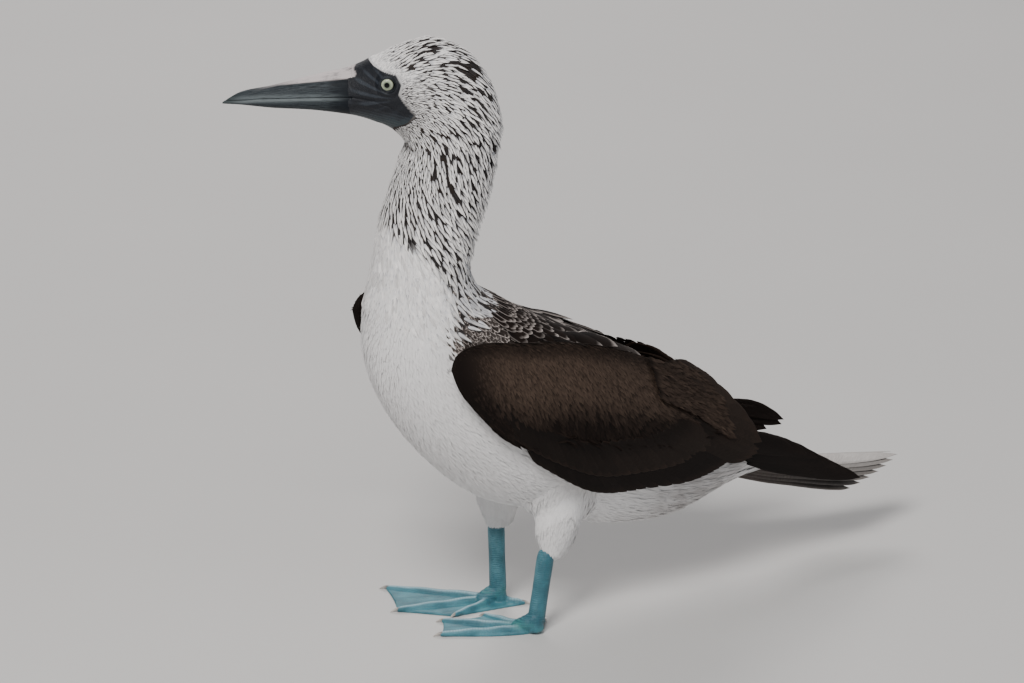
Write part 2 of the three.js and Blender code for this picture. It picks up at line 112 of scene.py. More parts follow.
# Lines in the middle plane, as x, z points
FEATHER_LINE = (
    (-117.5, 448), (-117, 427.5), (-111, 423), (-104.5, 420.5), (-95.5, 419), (-92, 413),
    (-94, 406.5), (-91, 401.5), (-83.5, 392), (-88, 386), (-98, 380), (-100, 363.5),
)
MOUTH_LINE = ((-225, 394.5), (-212, 396), (-190, 398.5), (-159.5, 400), (-125.5, 401.5))
GAPE_LINE = ((-130, 401.5), (-112, 400.5), (-100, 397), (-91.5, 391))
NASAL_GROOVE = ((-214, 396.5), (-192, 402.3), (-177, 406.2), (-160, 408.6), (-141, 411), (-124, 413.3))
WHITE_LINE = (
    (-134, 345), (-120, 325), (-112, 312), (-95, 290), (-88, 273), (-89, 255), (-90, 243), (-92, 225),
)
WING_TOP = (
    (-94, 224), (-88, 234), (-69, 238), (-36, 233), (2, 226), (42, 213), (82, 194), (116, 173), (142, 152),
)


def eased(value: Array | float, low: float, high: float) -> Array:
    """Gives a smooth step from 0 at low to 1 at high."""
    share = np.clip((np.asarray(value, float) - low) / (high - low), 0.0, 1.0)
    return share * share * (3.0 - 2.0 * share)


def blended(first: Array | float, second: Array | float, share: Array | float) -> Array:
    """Gives the value a share of the way from first to second."""
    return first + (second - first) * share


def unit(vectors: Array) -> Array:
    """Gives vectors of length one."""
    return vectors / np.maximum(np.linalg.norm(vectors, axis=-1, keepdims=True), 1e-9)


def across_line(line: tuple, height: Array) -> Array:
    """Gives the x of a line in the middle plane at a height."""
    points = np.array(sorted((z, x) for x, z in line))
    return np.interp(height, points[:, 0], points[:, 1])


def above_line(line: tuple, x: Array) -> Array:
    """Gives the height of a line in the middle plane over an x."""
    points = np.array(sorted(line))
    return np.interp(x, points[:, 0], points[:, 1])


class Curve:
    """A centripetal Catmull-Rom curve, the same as the solids' own curves."""

    def __init__(self, points: Array | tuple) -> None:
        """Keeps the points, with one more at each end.

        Args:
            points: the points that the curve runs through.
        """
        inner = np.asarray(points, float)
        self.points = np.vstack([2 * inner[0] - inner[1], inner, 2 * inner[-1] - inner[-2]])

    def at(self, share: Array | float) -> Array:
        """Gives points on the curve.

        Args:
            share: places from 0 at the start to 1 at the end.

        Returns:
            One point for each share.
        """
        place = np.clip(np.asarray(share, float), 0, 1) * (len(self.points) - 3)
        index = np.minimum(place.astype(int), len(self.points) - 4)
        weight = (place - index)[..., None]
        before, start, end, after = (self.points[index + step] for step in range(4))

        def gap(a: Array, b: Array) -> Array:
            """Gives the root of the distance between points."""
            return np.sum((b - a) ** 2, axis=-1, keepdims=True) ** 0.25

        middle = gap(start, end)
        middle = np.where(middle < 1e-4, 1.0, middle)
        early = gap(before, start)
        early = np.where(early < 1e-4, middle, early)
        late = gap(end, after)
        late = np.where(late < 1e-4, middle, late)
        inward = (start - before) / early - (end - before) / (early + middle)
        leaving = (inward + (end - start) / middle) * middle
        across = (end - start) / middle - (after - start) / (middle + late)
        reaching = (across + (after - end) / late) * middle
        square = -3 * start + 3 * end - 2 * leaving - reaching
        cube = 2 * start - 2 * end + leaving + reaching
        return start + leaving * weight + square * weight**2 + cube * weight**3


def turned(points: Array, back: bool = False) -> Array:
    """Turns the neck and head to the side, or back again.

    Args:
        points: points in millimetres.
        back: whether to undo the turn.

    Returns:
        The moved points.
    """
    angle = HEAD_TURN * eased(points[..., 2], TURN_FROM_Z, TURN_TO_Z) * (-1 if back else 1)
    ahead = points[..., 0] - TURN_AXIS_X
    side = points[..., 1]
    return np.stack(
        [
            TURN_AXIS_X + ahead * np.cos(angle) - side * np.sin(angle),
            ahead * np.sin(angle) + side * np.cos(angle),
            points[..., 2],
        ],
        axis=-1,
    )


@dataclass
class BodyForm:
    """The loft from the tail root to the bill tip."""

    stations: tuple = STATIONS
    upper: Curve = field(init=False)
    under: Curve = field(init=False)
    fullness: Curve = field(init=False)

    def __post_init__(self) -> None:
        """Draws the three curves of the loft."""
        table = np.array(self.stations, float)
        self.upper = Curve(table[:, [0, 4, 1]])
        self.under = Curve(table[:, [2, 6, 3]])
        count = np.arange(len(table))
        self.fullness = Curve(np.column_stack([count, table[:, 5]]))

    def straight(self, share: Array, angle: Array, margin: Array | float = 0.0) -> Array:
        """Gives points of the loft before the head is turned.

        Args:
            share: places from 0 at the tail to 1 at the bill tip.
            angle: 0 on the back, a quarter turn on the right side.
            margin: growth outwards.

        Returns:
            The points.
        """
        up = self.upper.at(share)
        down = self.under.at(share)
        half = np.maximum(up[..., 1], 0)
        middle = (up + down) / 2
        depth = np.hypot(up[..., 0] - down[..., 0], up[..., 2] - down[..., 2]) / 2
        level = np.cos(angle)
        aside = np.sin(angle)
        power = np.where(level > 0, 2 / self.fullness.at(share)[..., 1], 1.0)
        lift = np.sign(level) * np.abs(level) ** power
        reach = np.sign(aside) * np.abs(aside) ** power
        grown = lift * (1 + margin / np.maximum(depth, 1))
        y = reach * (half + margin) * (1 + down[..., 1] * lift)
        x = middle[..., 0] + (up[..., 0] - middle[..., 0]) * grown
        z = middle[..., 2] + (up[..., 2] - middle[..., 2]) * grown
        return np.stack([x, y, z], axis=-1)

    def point(self, share: Array, angle: Array, margin: Array | float = 0.0) -> Array:
        """Gives points of the loft with the head turned."""
        return turned(self.straight(share, angle, margin))

    def frame(self, share: Array, angle: Array, margin: Array | float = 0.0) -> tuple[Array, Array, Array]:
        """Gives points with their outward and backward directions.

        Args:
            share: places along the body.
            angle: places around it.
            margin: growth outwards.

        Returns:
            Points, outward directions and directions towards the tail.
        """
        step = 1.5e-4
        turn = 2e-3
        here = self.point(share, angle, margin)
        back = self.point(share - step, angle, margin) - self.point(share + step, angle, margin)
        around = self.point(share, angle + turn, margin) - self.point(share, angle - turn, margin)
        out = unit(np.cross(back, around))
        inside = (self.point(share, angle * 0, margin) + self.point(share, angle * 0 + np.pi, margin)) / 2
        flip = np.sum(out * (here - inside), axis=-1, keepdims=True) < 0
        return here, np.where(flip, -out, out), unit(back)


class Side(Enum):
    """The two sides of the bird, by the sign of y."""

    LEFT = -1
    RIGHT = 1

    @property
    def label(self) -> str:
        """Gives the side's name in lower case."""
        return self.name.lower()


@dataclass(frozen=True)
class WingFold:
    """How one folded wing sits."""

    forward: float = 0.0
    bend_raised: float = 0.0
    raised: float = 0.0
    drawn_in: float = 0.0
    tip_lifted: float = 0.0


WING_FOLDS = {Side.LEFT: WingFold(), Side.RIGHT: WingFold(8, 11, -1, 42, 40)}


@dataclass(frozen=True)
class WingForm:
    """The curved sheet that a folded wing follows."""

    side: Side
    bend_x: float = -94
    tip_x: float = 292
    axis_z: float = 172
    axis_slope: float = -0.37
    widest: float = 68.5
    at_bend: float = 62
    at_tip: float = 26
    upper_curl: float = 0.0045
    lower_curl: float = 0.0026
    upper_tilt: float = 0.5
    lower_tilt: float = 0.25

    def spread(self, x: Array, z: Array) -> Array:
        """Gives the wing's distance from the middle plane over a point of its side view."""
        share = np.clip(x / self.tip_x, 0, 1)
        ahead = np.clip(x / self.bend_x, 0, 1.2)
        behind = blended(self.widest, self.at_tip, eased(share, 0, 1))
        along = np.where(x > 0, behind, self.widest - (self.widest - self.at_bend) * ahead**2)
        over = z - (self.axis_z + self.axis_slope * x)
        curl = np.where(over > 0, self.upper_curl, self.lower_curl)
        tilt = np.where(over > 0, self.upper_tilt * eased(x, 0, 160), self.lower_tilt * eased(x, 40, 190))
        return along - curl * over * over - tilt * over

    def wrapped(self, x: Array, z: Array, out: Array | float) -> Array:
        """Gives points of the folded wing.

        Args:
            x: place along the wing's side view.
            z: height in the wing's side view.
            out: distance outwards from the sheet.

        Returns:
            The points.
        """
        fold = WING_FOLDS[self.side]
        drawn = x - fold.drawn_in * eased(x, 110, self.tip_x) - fold.forward * eased(-x, -20, 90)
        raised = blended(fold.bend_raised, fold.raised, eased(x, self.bend_x, 40))
        lifted = fold.tip_lifted * eased(x, 130, 270)
        y = self.side.value * (self.spread(x, z) + out)
        return np.stack(np.broadcast_arrays(drawn, y, z + raised + lifted), axis=-1)

    def frame(self, x: Array, z: Array, out: Array | float, heading: Array) -> tuple[Array, Array, Array]:
        """Gives points with their outward directions and the directions of a heading.

        Args:
            x: place along the wing's side view.
            z: height in the wing's side view.
            out: distance outwards from the sheet.
            heading: angle in the side view, in radians from straight back.

        Returns:
            Points, outward directions and headed directions.
        """
        here = self.wrapped(x, z, out)
        along = self.wrapped(x + 0.5, z, out) - self.wrapped(x - 0.5, z, out)
        upward = self.wrapped(x, z + 0.5, out) - self.wrapped(x, z - 0.5, out)
        normal = unit(np.cross(along, upward))
        normal = np.where(np.sign(normal[..., 1:2]) == self.side.value, normal, -normal)
        headed = unit(along * np.cos(heading)[..., None] + upward * np.sin(heading)[..., None])
        return here, normal, headed


BODY = BodyForm()


@dataclass(frozen=True)
class EyePlace:
    """Where the eyes sit in the straight head, and their sizes."""

    x: float = -101.0
    y: float = 14.2
    z: float = 412.5
    radius: float = 7.2
    iris: float = 4.3
    pupil: float = 1.8
    forward_lean: float = 0.12


EYE = EyePlace()


@dataclass
class Bench:
    """Turns the maker's millimetres into the frame's metres and makes mesh objects."""

    shift: Array = field(init=False)

    def __post_init__(self) -> None:
        """Finds the frame's origin from the left eye, whose centre both know."""
        low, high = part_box("eye_left")
        centre = (np.array(low) + np.array(high)) * 500
        self.shift = centre - turned(np.array([EYE.x, -EYE.y, EYE.z]))

    def placed(self, points: Array) -> Array:
        """Gives points of the bird in the frame's metres."""
        return (points + self.shift) / 1000

    def local(self, points: Array) -> Array:
        """Gives points of the frame in the bird's millimetres."""
        return points * 1000 - self.shift

    def piece(self, name: str, points: Array, faces: list | Array, material: Material | None) -> Piece:
        """Makes a smooth mesh object from points in millimetres.

        Args:
            name: the piece's name.
            points: its corners.
            faces: corner numbers of each face.
            material: its finish.

        Returns:
            The new object.
        """
        mesh = bpy.data.meshes.new(name)
        mesh.from_pydata(self.placed(points).tolist(), [], [list(map(int, face)) for face in faces])
        mesh.update()
        mesh.shade_smooth()
        made = bpy.data.objects.new(name, mesh)
        bpy.context.scene.collection.objects.link(made)
        if material:
            mesh.materials.append(material)
        return made


def grid_faces(rows: int, columns: int, closed: bool, start: int = 0) -> list[tuple[int, int, int, int]]:
    """Gives the quads of a grid of corners.

    Args:
        rows: rows of corners.
        columns: corners in a row.
        closed: whether the last column joins the first.
        start: the number of the first corner.

    Returns:
        The quads.
    """
    quads = []
    for row in range(rows - 1):
        for column in range(columns if closed else columns - 1):
            after = (column + 1) % columns
            quads.append(
                (
                    start + row * columns + column,
                    start + row * columns + after,
                    start + (row + 1) * columns + after,
                    start + (row + 1) * columns + column,
                )
            )
    return quads


def tube(rings: Array) -> tuple[Array, list]:
    """Closes a stack of rings with a pole at each end.

    Args:
        rings: corners by ring and place around it.

    Returns:
        Corners and faces of a closed mesh, seen from outside where the rings run the right way.
    """
    count, around, _ = rings.shape
    poles = np.array([rings[0].mean(axis=0), rings[-1].mean(axis=0)])
    points = np.vstack([rings.reshape(-1, 3), poles])
    faces = grid_faces(count, around, True)
    first = count * around
    last = (count - 1) * around
    for column in range(around):
        after = (column + 1) % around
        faces.append((first, after, column))
        faces.append((first + 1, last + column, last + after))
    return points, faces


def facing_out(piece: Piece) -> None:
    """Turns a closed mesh right way out where its faces enclose a negative volume."""
    mesh = piece.data
    mesh.calc_loop_triangles()
    corners = np.empty(len(mesh.vertices) * 3)
    mesh.vertices.foreach_get("co", corners)
    corners = corners.reshape(-1, 3)
    corners = corners - corners.mean(axis=0)
    triangles = np.empty(len(mesh.loop_triangles) * 3, dtype=np.int32)
    mesh.loop_triangles.foreach_get("vertices", triangles)
    a, b, c = (corners[triangles.reshape(-1, 3)[:, place]] for place in range(3))
    if np.sum(a * np.cross(b, c)) < 0:
        mesh.flip_normals()


def store(piece: Piece, name: str, values: Array) -> None:
    """Keeps one number or colour for each corner of a piece.

    Args:
        piece: the piece.
        name: the attribute's name.
        values: numbers, or rows of red, green and blue.
    """
    coloured = values.ndim == 2
    made = piece.data.attributes.new(name, "FLOAT_COLOR" if coloured else "FLOAT", "POINT")
    if coloured:
        values = np.column_stack([values, np.ones(len(values))])
        made.data.foreach_set("color", values.astype(np.float32).ravel())
    else:
        made.data.foreach_set("value", values.astype(np.float32))


def known_points(points: Array) -> KDTree:
    """Gives a search tree over points."""
    tree = KDTree(len(points))
    for place, point in enumerate(points):
        tree.insert(point, place)
    tree.balance()
    return tree


def corners_of(piece: Piece) -> Array:
    """Gives a piece's corners in metres."""
    corners = np.empty(len(piece.data.vertices) * 3)
    piece.data.vertices.foreach_get("co", corners)
    return corners.reshape(-1, 3)


def settled(piece: Piece) -> None:
    """Turns what a piece's modifiers give into its plain mesh."""
    graph = bpy.context.evaluated_depsgraph_get()
    mesh = bpy.data.meshes.new_from_object(piece.evaluated_get(graph), depsgraph=graph)
    piece.modifiers.clear()
    old = piece.data
    piece.data = mesh
    mesh.name = piece.name
    bpy.data.meshes.remove(old)


class Value:
    """An output socket that takes part in sums."""

    def __init__(self, graph: "Graph", socket: bpy.types.NodeSocket) -> None:
        """Keeps the graph and the socket."""
        self.graph = graph
        self.socket = socket

    def _math(self, operation: str, *values: "Value | float", clamp: bool = False) -> "Value":
        """Adds one Math node over numbers and values."""
        settings = {"operation": operation, "use_clamp": clamp}
        return self.graph.node("ShaderNodeMath", settings, dict(enumerate(values)))

    def __add__(self, other: "Value | float") -> "Value":
        """Adds."""
        return self._math("ADD", self, other)

    def __radd__(self, other: float) -> "Value":
        """Adds to a number."""
        return self._math("ADD", other, self)

    def __sub__(self, other: "Value | float") -> "Value":
        """Takes away."""
        return self._math("SUBTRACT", self, other)

    def __rsub__(self, other: float) -> "Value":
        """Takes away from a number."""
        return self._math("SUBTRACT", other, self)

    def __mul__(self, other: "Value | float") -> "Value":
        """Multiplies."""
        return self._math("MULTIPLY", self, other)

    def __rmul__(self, other: float) -> "Value":
        """Multiplies a number."""
        return self._math("MULTIPLY", other, self)

    def power(self, exponent: float) -> "Value":
        """Raises to a power."""
        return self._math("POWER", self, exponent)

    def size(self) -> "Value":
        """Gives the value without its sign."""
        return self._math("ABSOLUTE", self)

    def greater(self, other: "Value | float") -> "Value":
        """Gives the larger of two values."""
        return self._math("MAXIMUM", self, other)

    def held(self) -> "Value":
        """Keeps the value between 0 and 1."""
        return self._math("ADD", self, 0.0, clamp=True)

    def eased(self, low: float, high: float) -> "Value":
        """Gives a smooth step from 0 at low to 1 at high."""
        settings = {"interpolation_type": "SMOOTHSTEP"}
        values = {"Value": self, "From Min": low, "From Max": high, "To Min": 0.0, "To Max": 1.0}
        return self.graph.node("ShaderNodeMapRange", settings, values)


class Graph:
    """A node tree that is written as calls and expressions."""

    def __init__(self, tree: bpy.types.NodeTree) -> None:
        """Keeps an empty tree."""
        self.tree = tree
        tree.nodes.clear()

    def node(
        self, kind: str, settings: dict | None = None, values: dict | None = None, output: int | str = 0
    ) -> Value:
        """Adds a node.

        Args:
            kind: the node's type.
            settings: its own settings, set first.
            values: numbers, colours or links for its sockets.
            output: which of its outputs to give.

        Returns:
            That output.
        """
        made = self.tree.nodes.new(kind)
        for name, setting in (settings or {}).items():
            setattr(made, name, setting)
        for name, value in (values or {}).items():
            if isinstance(value, Value):
                self.tree.links.new(value.socket, made.inputs[name])
            else:
                made.inputs[name].default_value = value
        return Value(self, made.outputs[output]) if len(made.outputs) else None


class Finish(Graph):
    """A material whose colours and bumps are worked out from attributes and object coordinates."""

    def __init__(self, name: str) -> None:
        """Starts an empty material."""
        self.material = bpy.data.materials.new(name)
        self.material.use_nodes = True
        super().__init__(self.material.node_tree)

    def carried(self, name: str, output: str = "Fac") -> Value:
        """Reads an attribute of the mesh."""
        return self.node("ShaderNodeAttribute", {"attribute_name": name}, output=output)

    def place(self, stretch: tuple[float, float, float] = (1, 1, 1)) -> Value:
        """Gives object coordinates, stretched."""
        here = self.node("ShaderNodeTexCoord", output="Object")
        return self.node("ShaderNodeMapping", None, {"Vector": here, "Scale": stretch})

    def noise(self, scale: float, detail: float = 2.0, where: Value | None = None) -> Value:
        """Gives cloudy noise around one half."""
        values = {"Scale": scale, "Detail": detail, "Vector": where or self.place()}
        return self.node("ShaderNodeTexNoise", {"normalize": True}, values)

    def cells(self, scale: float, feature: str = "DISTANCE_TO_EDGE", where: Value | None = None) -> Value:
        """Gives the distance to the edges or the middles of scattered cells."""
        values = {"Scale": scale, "Vector": where or self.place()}
        return self.node("ShaderNodeTexVoronoi", {"feature": feature}, values, output="Distance")

    def mixed(
        self, share: Value | float, first: Value | tuple, second: Value | tuple, how: str = "MIX"
    ) -> Value:
        """Mixes two colours."""
        settings = {"data_type": "RGBA", "blend_type": how}
        values = {0: share, 6: self._colour(first), 7: self._colour(second)}
        return self.node("ShaderNodeMix", settings, values, output=2)

    @staticmethod
    def _colour(value: Value | tuple) -> Value | tuple:
        """Gives a colour with its fourth number."""
        return value if isinstance(value, Value) else (*value, 1.0)

    def grey(self, value: Value) -> Value:
        """Makes a grey colour from a number."""
        return self.node("ShaderNodeCombineColor", None, {"Red": value, "Green": value, "Blue": value})

    def raised(self, height: Value, distance: float, strength: float) -> Value:
        """Bumps the surface by a height."""
        values = {"Height": height, "Distance": distance, "Strength": strength}
        return self.node("ShaderNodeBump", None, values)

    def done(self, **values: Value | float | tuple) -> Material:
        """Wires the surface.

        Args:
            values: the shader's sockets, with words joined by underscores.

        Returns:
            The material.
        """
        sockets = {name.replace("_", " "): value for name, value in values.items()}
        surface = self.node("ShaderNodeBsdfPrincipled", None, sockets)
        self.node("ShaderNodeOutputMaterial", None, {"Surface": surface})
        return self.material


@dataclass(frozen=True)
class FeatherFinish:
    """The colours of one kind of feather, dark where mark is 0 and light where it is 1."""

    name: str
    dark: tuple = (0.035, 0.022, 0.016)
    light: tuple = (0.82, 0.80, 0.79)
    dark_root: tuple = (0.012, 0.009, 0.008)
    light_root: tuple = (0.55, 0.55, 0.57)
    pale_edge: tuple = (0.62, 0.55, 0.48)
    root_until: tuple = (0.15, 0.6)
    tip_slide: float = 0.0
    edge_dark: float = 0.0
    rim: tuple = (0.72, 0.95)
    barbs: float = 0.0
    streaks: float = 0.35
    uneven: float = 0.4
    roughness: float = 0.8
    shine: float = 0.12

    def build(self) -> Material:
        """Makes the material from the feather's own attributes."""
        f = Finish(self.name)
        along = f.carried("along")
        across = f.carried("across")
        tone = f.carried("tone")
        mark = f.carried("mark")
        lightness = mark.eased(0.0, 0.35) if self.tip_slide else mark
        root = f.mixed(lightness, self.dark_root, self.light_root)
        vane = f.mixed(lightness, self.dark, self.light)
        pale_from = along - (1 - mark) * self.tip_slide
        colour = f.mixed(pale_from.eased(*self.root_until), root, vane)
        border = f.carried("border")
        if self.edge_dark:
            # Darkens each plume's sides to the root colour: partly the dark base that shows at the sides,
            # partly painted shade of the gaps between plumes.
            side = across.size().eased(0.40, 0.88) * (1 - along.eased(0.6, 0.97)) * self.edge_dark
            colour = f.mixed(side * border, colour, self.dark_root)
        else:
            rim = across.size().eased(*self.rim).greater(along.eased(self.rim[0] + 0.08, self.rim[1] + 0.03))
            colour = f.mixed(rim * border, colour, self.pale_edge)
        if self.barbs:
            spot = {"X": across * 1.5 + tone * 60, "Y": along * self.barbs + across.size() * 4}
        else:
            spot = {"X": across * 3.2 + tone * 60, "Y": along * 1.4}
        where = f.node("ShaderNodeCombineXYZ", None, {**spot, "Z": tone * 17})
        streak = f.noise(1.6, 3.0, where)
        shade = (1 - self.uneven / 2 + self.uneven * tone) * (1 - self.streaks + 2 * self.streaks * streak)
        colour = f.mixed(1.0, colour, f.grey(shade), "MULTIPLY")
        return f.done(
            Base_Color=colour,
            Roughness=self.roughness,
            Specular_IOR_Level=self.shine,
            Normal=f.raised(streak, 0.0001, 0.35),
        )


# The feathers' finishes, by where they grow
PLUME_FINISH = FeatherFinish("streaked_plumes", edge_dark=0.92, root_until=(0.22, 0.5), tip_slide=0.5)
WHITE_FINISH = FeatherFinish(
    "white_coat",
    dark=(0.13, 0.105, 0.095),
    dark_root=(0.10, 0.08, 0.07),
    light=(0.84, 0.83, 0.83),
    light_root=(0.84, 0.83, 0.83),
    streaks=0.04,
    uneven=0.05,
)
BROWN_FINISH = FeatherFinish(
    "brown_coverts",
    dark=(0.0075, 0.0045, 0.0035),
    dark_root=(0.003, 0.002, 0.0015),
    light=(0.070, 0.048, 0.036),
    light_root=(0.022, 0.015, 0.011),
    pale_edge=(0.07, 0.045, 0.034),
)
BACK_FINISH = FeatherFinish(
    "edged_back_feathers",
    dark=(0.012, 0.0075, 0.0058),
    dark_root=(0.005, 0.003, 0.0025),
    light=(0.50, 0.44, 0.41),
    light_root=(0.10, 0.08, 0.07),
    pale_edge=(0.70, 0.62, 0.58),
    rim=(0.66, 0.95),
    barbs=14,
    uneven=0.3,
)
VANE_FINISH = FeatherFinish(
    "dark_vanes",
    dark=(0.0065, 0.004, 0.0032),
    dark_root=(0.004, 0.0025, 0.002),
    light=(0.065, 0.045, 0.034),
    light_root=(0.03, 0.02, 0.015),
    pale_edge=(0.030, 0.018, 0.013),
    barbs=45,
    streaks=0.6,
    uneven=0.3,
    roughness=0.65,
)
TAIL_FINISH = FeatherFinish(
    "tail_vanes",
    dark=(0.022, 0.016, 0.013),
    dark_root=(0.10, 0.08, 0.07),
    light=(0.58, 0.55, 0.53),
    light_root=(0.50, 0.46, 0.44),
    pale_edge=(0.30, 0.27, 0.25),
    root_until=(0.25, 0.7),
    barbs=70,
    uneven=0.2,
    roughness=0.65,
)


@dataclass(frozen=True)
class SkinFinish:
    """Skin under the coat, and the bare dark skin of the face."""

    bare: tuple = (0.0065, 0.008, 0.012)
    bare_light: tuple = (0.026, 0.032, 0.042)
    gular: tuple = (0.030, 0.046, 0.054)
    ridge: tuple = (0.54, 0.49, 0.49)

    def build(self) -> Material:
        """Makes the skin's material."""
        f = Finish("skin_and_face")
        ground = f.carried("ground", "Color")
        bare = f.carried("bare")
        blotch = f.noise(160, 4)
        wrinkle = f.cells(900, where=f.place((1, 1, 1.6)))
        folds = f.carried("folds")
        face = f.mixed((blotch * 0.7 + folds * 0.5).eased(0.32, 0.8), self.bare, self.bare_light)
        face = f.mixed(f.carried("gular") * blotch.eased(0.25, 0.6), face, self.gular)
        worn = (f.carried("ridge") * 0.55 + f.noise(260, 4, f.place((0.3, 1, 1))) * 0.6).eased(0.62, 0.82)
        face = f.mixed(worn * f.carried("ridge").eased(0.0, 0.25), face, self.ridge)
        colour = f.mixed(bare, ground, face)
        height = wrinkle.eased(0.0, 0.35) + f.noise(500, 3) * 0.8
        return f.done(
            Base_Color=colour,
            Roughness=0.85 - bare * 0.36,
            Normal=f.raised(height * bare, 0.00016, 0.7),
            Specular_IOR_Level=0.3,
        )


@dataclass(frozen=True)
class BillFinish:
    """Slate horn with a pale strip on the ridge and fine lines towards the tip."""

    base: tuple = (0.0075, 0.010, 0.014)
    dark: tuple = (0.011, 0.014, 0.018)
    slate: tuple = (0.050, 0.062, 0.070)
    pale: tuple = (0.56, 0.51, 0.51)

    def build(self) -> Material:
        """Makes the bill's material."""
        f = Finish("bill_horn_streaked")
        height = f.carried("height")
        reach = f.carried("reach")
        strip = f.carried("strip")
        lines = f.noise(3.2, 5, f.node("ShaderNodeCombineXYZ", None, {"X": reach * 3.5, "Y": height * 9}))
        fine = f.noise(9, 3, f.node("ShaderNodeCombineXYZ", None, {"X": reach * 5, "Y": height * 14}))
        cloud = f.noise(120, 4)
        colour = f.mixed(lines.eased(0.36, 0.66), self.dark, self.slate)
        colour = f.mixed(fine.eased(0.5, 0.75) * 0.4, colour, (0.13, 0.15, 0.16))
        colour = f.mixed(1 - (reach + lines * 0.12).eased(0.1, 0.36), colour, self.base)
        # Painted highlight: a paler grey band along the mouth line, broken by the lines.
        colour = f.mixed(f.carried("tomium") * 0.85 * lines.eased(0.2, 0.5), colour, (0.19, 0.22, 0.23))
        colour = f.mixed(reach.eased(0.8, 1.0) * 0.75, colour, (0.020, 0.030, 0.030))
        worn = strip * (cloud * 0.5 + lines * 0.5 + fine * 0.35).eased(0.38, 0.68)
        colour = f.mixed(worn, colour, self.pale)
        bump = f.raised(lines + fine * 0.6, 0.0002, 0.5)
        return f.done(Base_Color=colour, Roughness=0.50 + 0.15 * cloud, Normal=bump, Specular_IOR_Level=0.14)


@dataclass(frozen=True)
class EyeFinish:
    """Pale yellow iris, black pupil and a dark rim, under a wet cornea."""

    iris: tuple = (0.50, 0.545, 0.40)
    iris_deep: tuple = (0.17, 0.20, 0.15)
    dark: tuple = (0.004, 0.004, 0.005)

    def build(self) -> Material:
        """Makes the eye's material from the distance to its axis in millimetres."""
        f = Finish("pale_eye")
        radius = f.carried("from_axis")
        spokes = f.carried("spoke").eased(-1.0, 1.0)
        ring = f.mixed(radius.eased(EYE.pupil, EYE.pupil + 1.6), self.iris_deep, self.iris)
        ring = f.mixed(spokes * 0.3, ring, self.iris_deep)
        limbus = radius.eased(EYE.iris - 0.7, EYE.iris + 0.15)
        colour = f.mixed(limbus, ring, self.dark)
        pupil = 1 - radius.eased(EYE.pupil - 0.12, EYE.pupil + 0.12)
        colour = f.mixed(pupil, colour, self.dark)
        return f.done(
            Base_Color=colour,
            Roughness=0.5,
            Specular_IOR_Level=0.0,
            Coat_Weight=0.3,
            Coat_Roughness=0.03,
        )


@dataclass(frozen=True)
class BlueSkinFinish:
    """Turquoise skin of legs and webs, with fine scales, painted shade in the creases and painted highlights
    on the ridges.
    """

    deep: tuple = (0.030, 0.135, 0.175)
    blue: tuple = (0.085, 0.275, 0.335)
    # The colour of the painted highlights.
    pale: tuple = (0.36, 0.57, 0.65)
    green: tuple = (0.035, 0.22, 0.185)

    def build(self) -> Material:
        """Makes the legs' material."""
        f = Finish("turquoise_skin")
        cloud = f.noise(70, 4)
        scales = f.cells(650, where=f.place((1, 1, 1.5)))
        ridge = f.carried("ridge")
        crease = f.carried("crease")
        colour = f.mixed(cloud.eased(0.3, 0.72), self.deep, self.blue)
        # Painted highlight on ridges, toe tops and the sides that face the light.
        colour = f.mixed((ridge * 0.85 + cloud * 0.25).eased(0.35, 1.1), colour, self.pale)
        colour = f.mixed(f.carried("ankle") * cloud.eased(0.4, 0.65) * 0.7, colour, self.green)
        colour = f.mixed((1 - scales.eased(0.0, 0.12)) * 0.4, colour, self.deep)
        # Painted shade in the creases.
        colour = f.mixed(crease * 0.65, colour, (0.01, 0.075, 0.11))
        height = scales.eased(0.0, 0.3) + cloud * 0.6
        return f.done(
            Base_Color=colour,
            Roughness=0.42 + 0.2 * cloud,
            Normal=f.raised(height, 0.00022, 0.6),
            Subsurface_Weight=0.08,
            Subsurface_Scale=0.002,
        )


@dataclass(frozen=True)
class ClawFinish:
    """Worn horn, darker at the root."""

    def build(self) -> Material:
        """Makes the claws' material."""
        f = Finish("worn_claw")
        grain = f.noise(420, 4, f.place((1, 1, 3)))
        colour = f.mixed(f.carried("along").eased(0.0, 0.7), (0.12, 0.12, 0.12), (0.50, 0.47, 0.43))
        colour = f.mixed(grain.eased(0.4, 0.7) * 0.45, colour, (0.22, 0.20, 0.18))
        return f.done(Base_Color=colour, Roughness=0.4, Normal=f.raised(grain, 0.0001, 0.5))


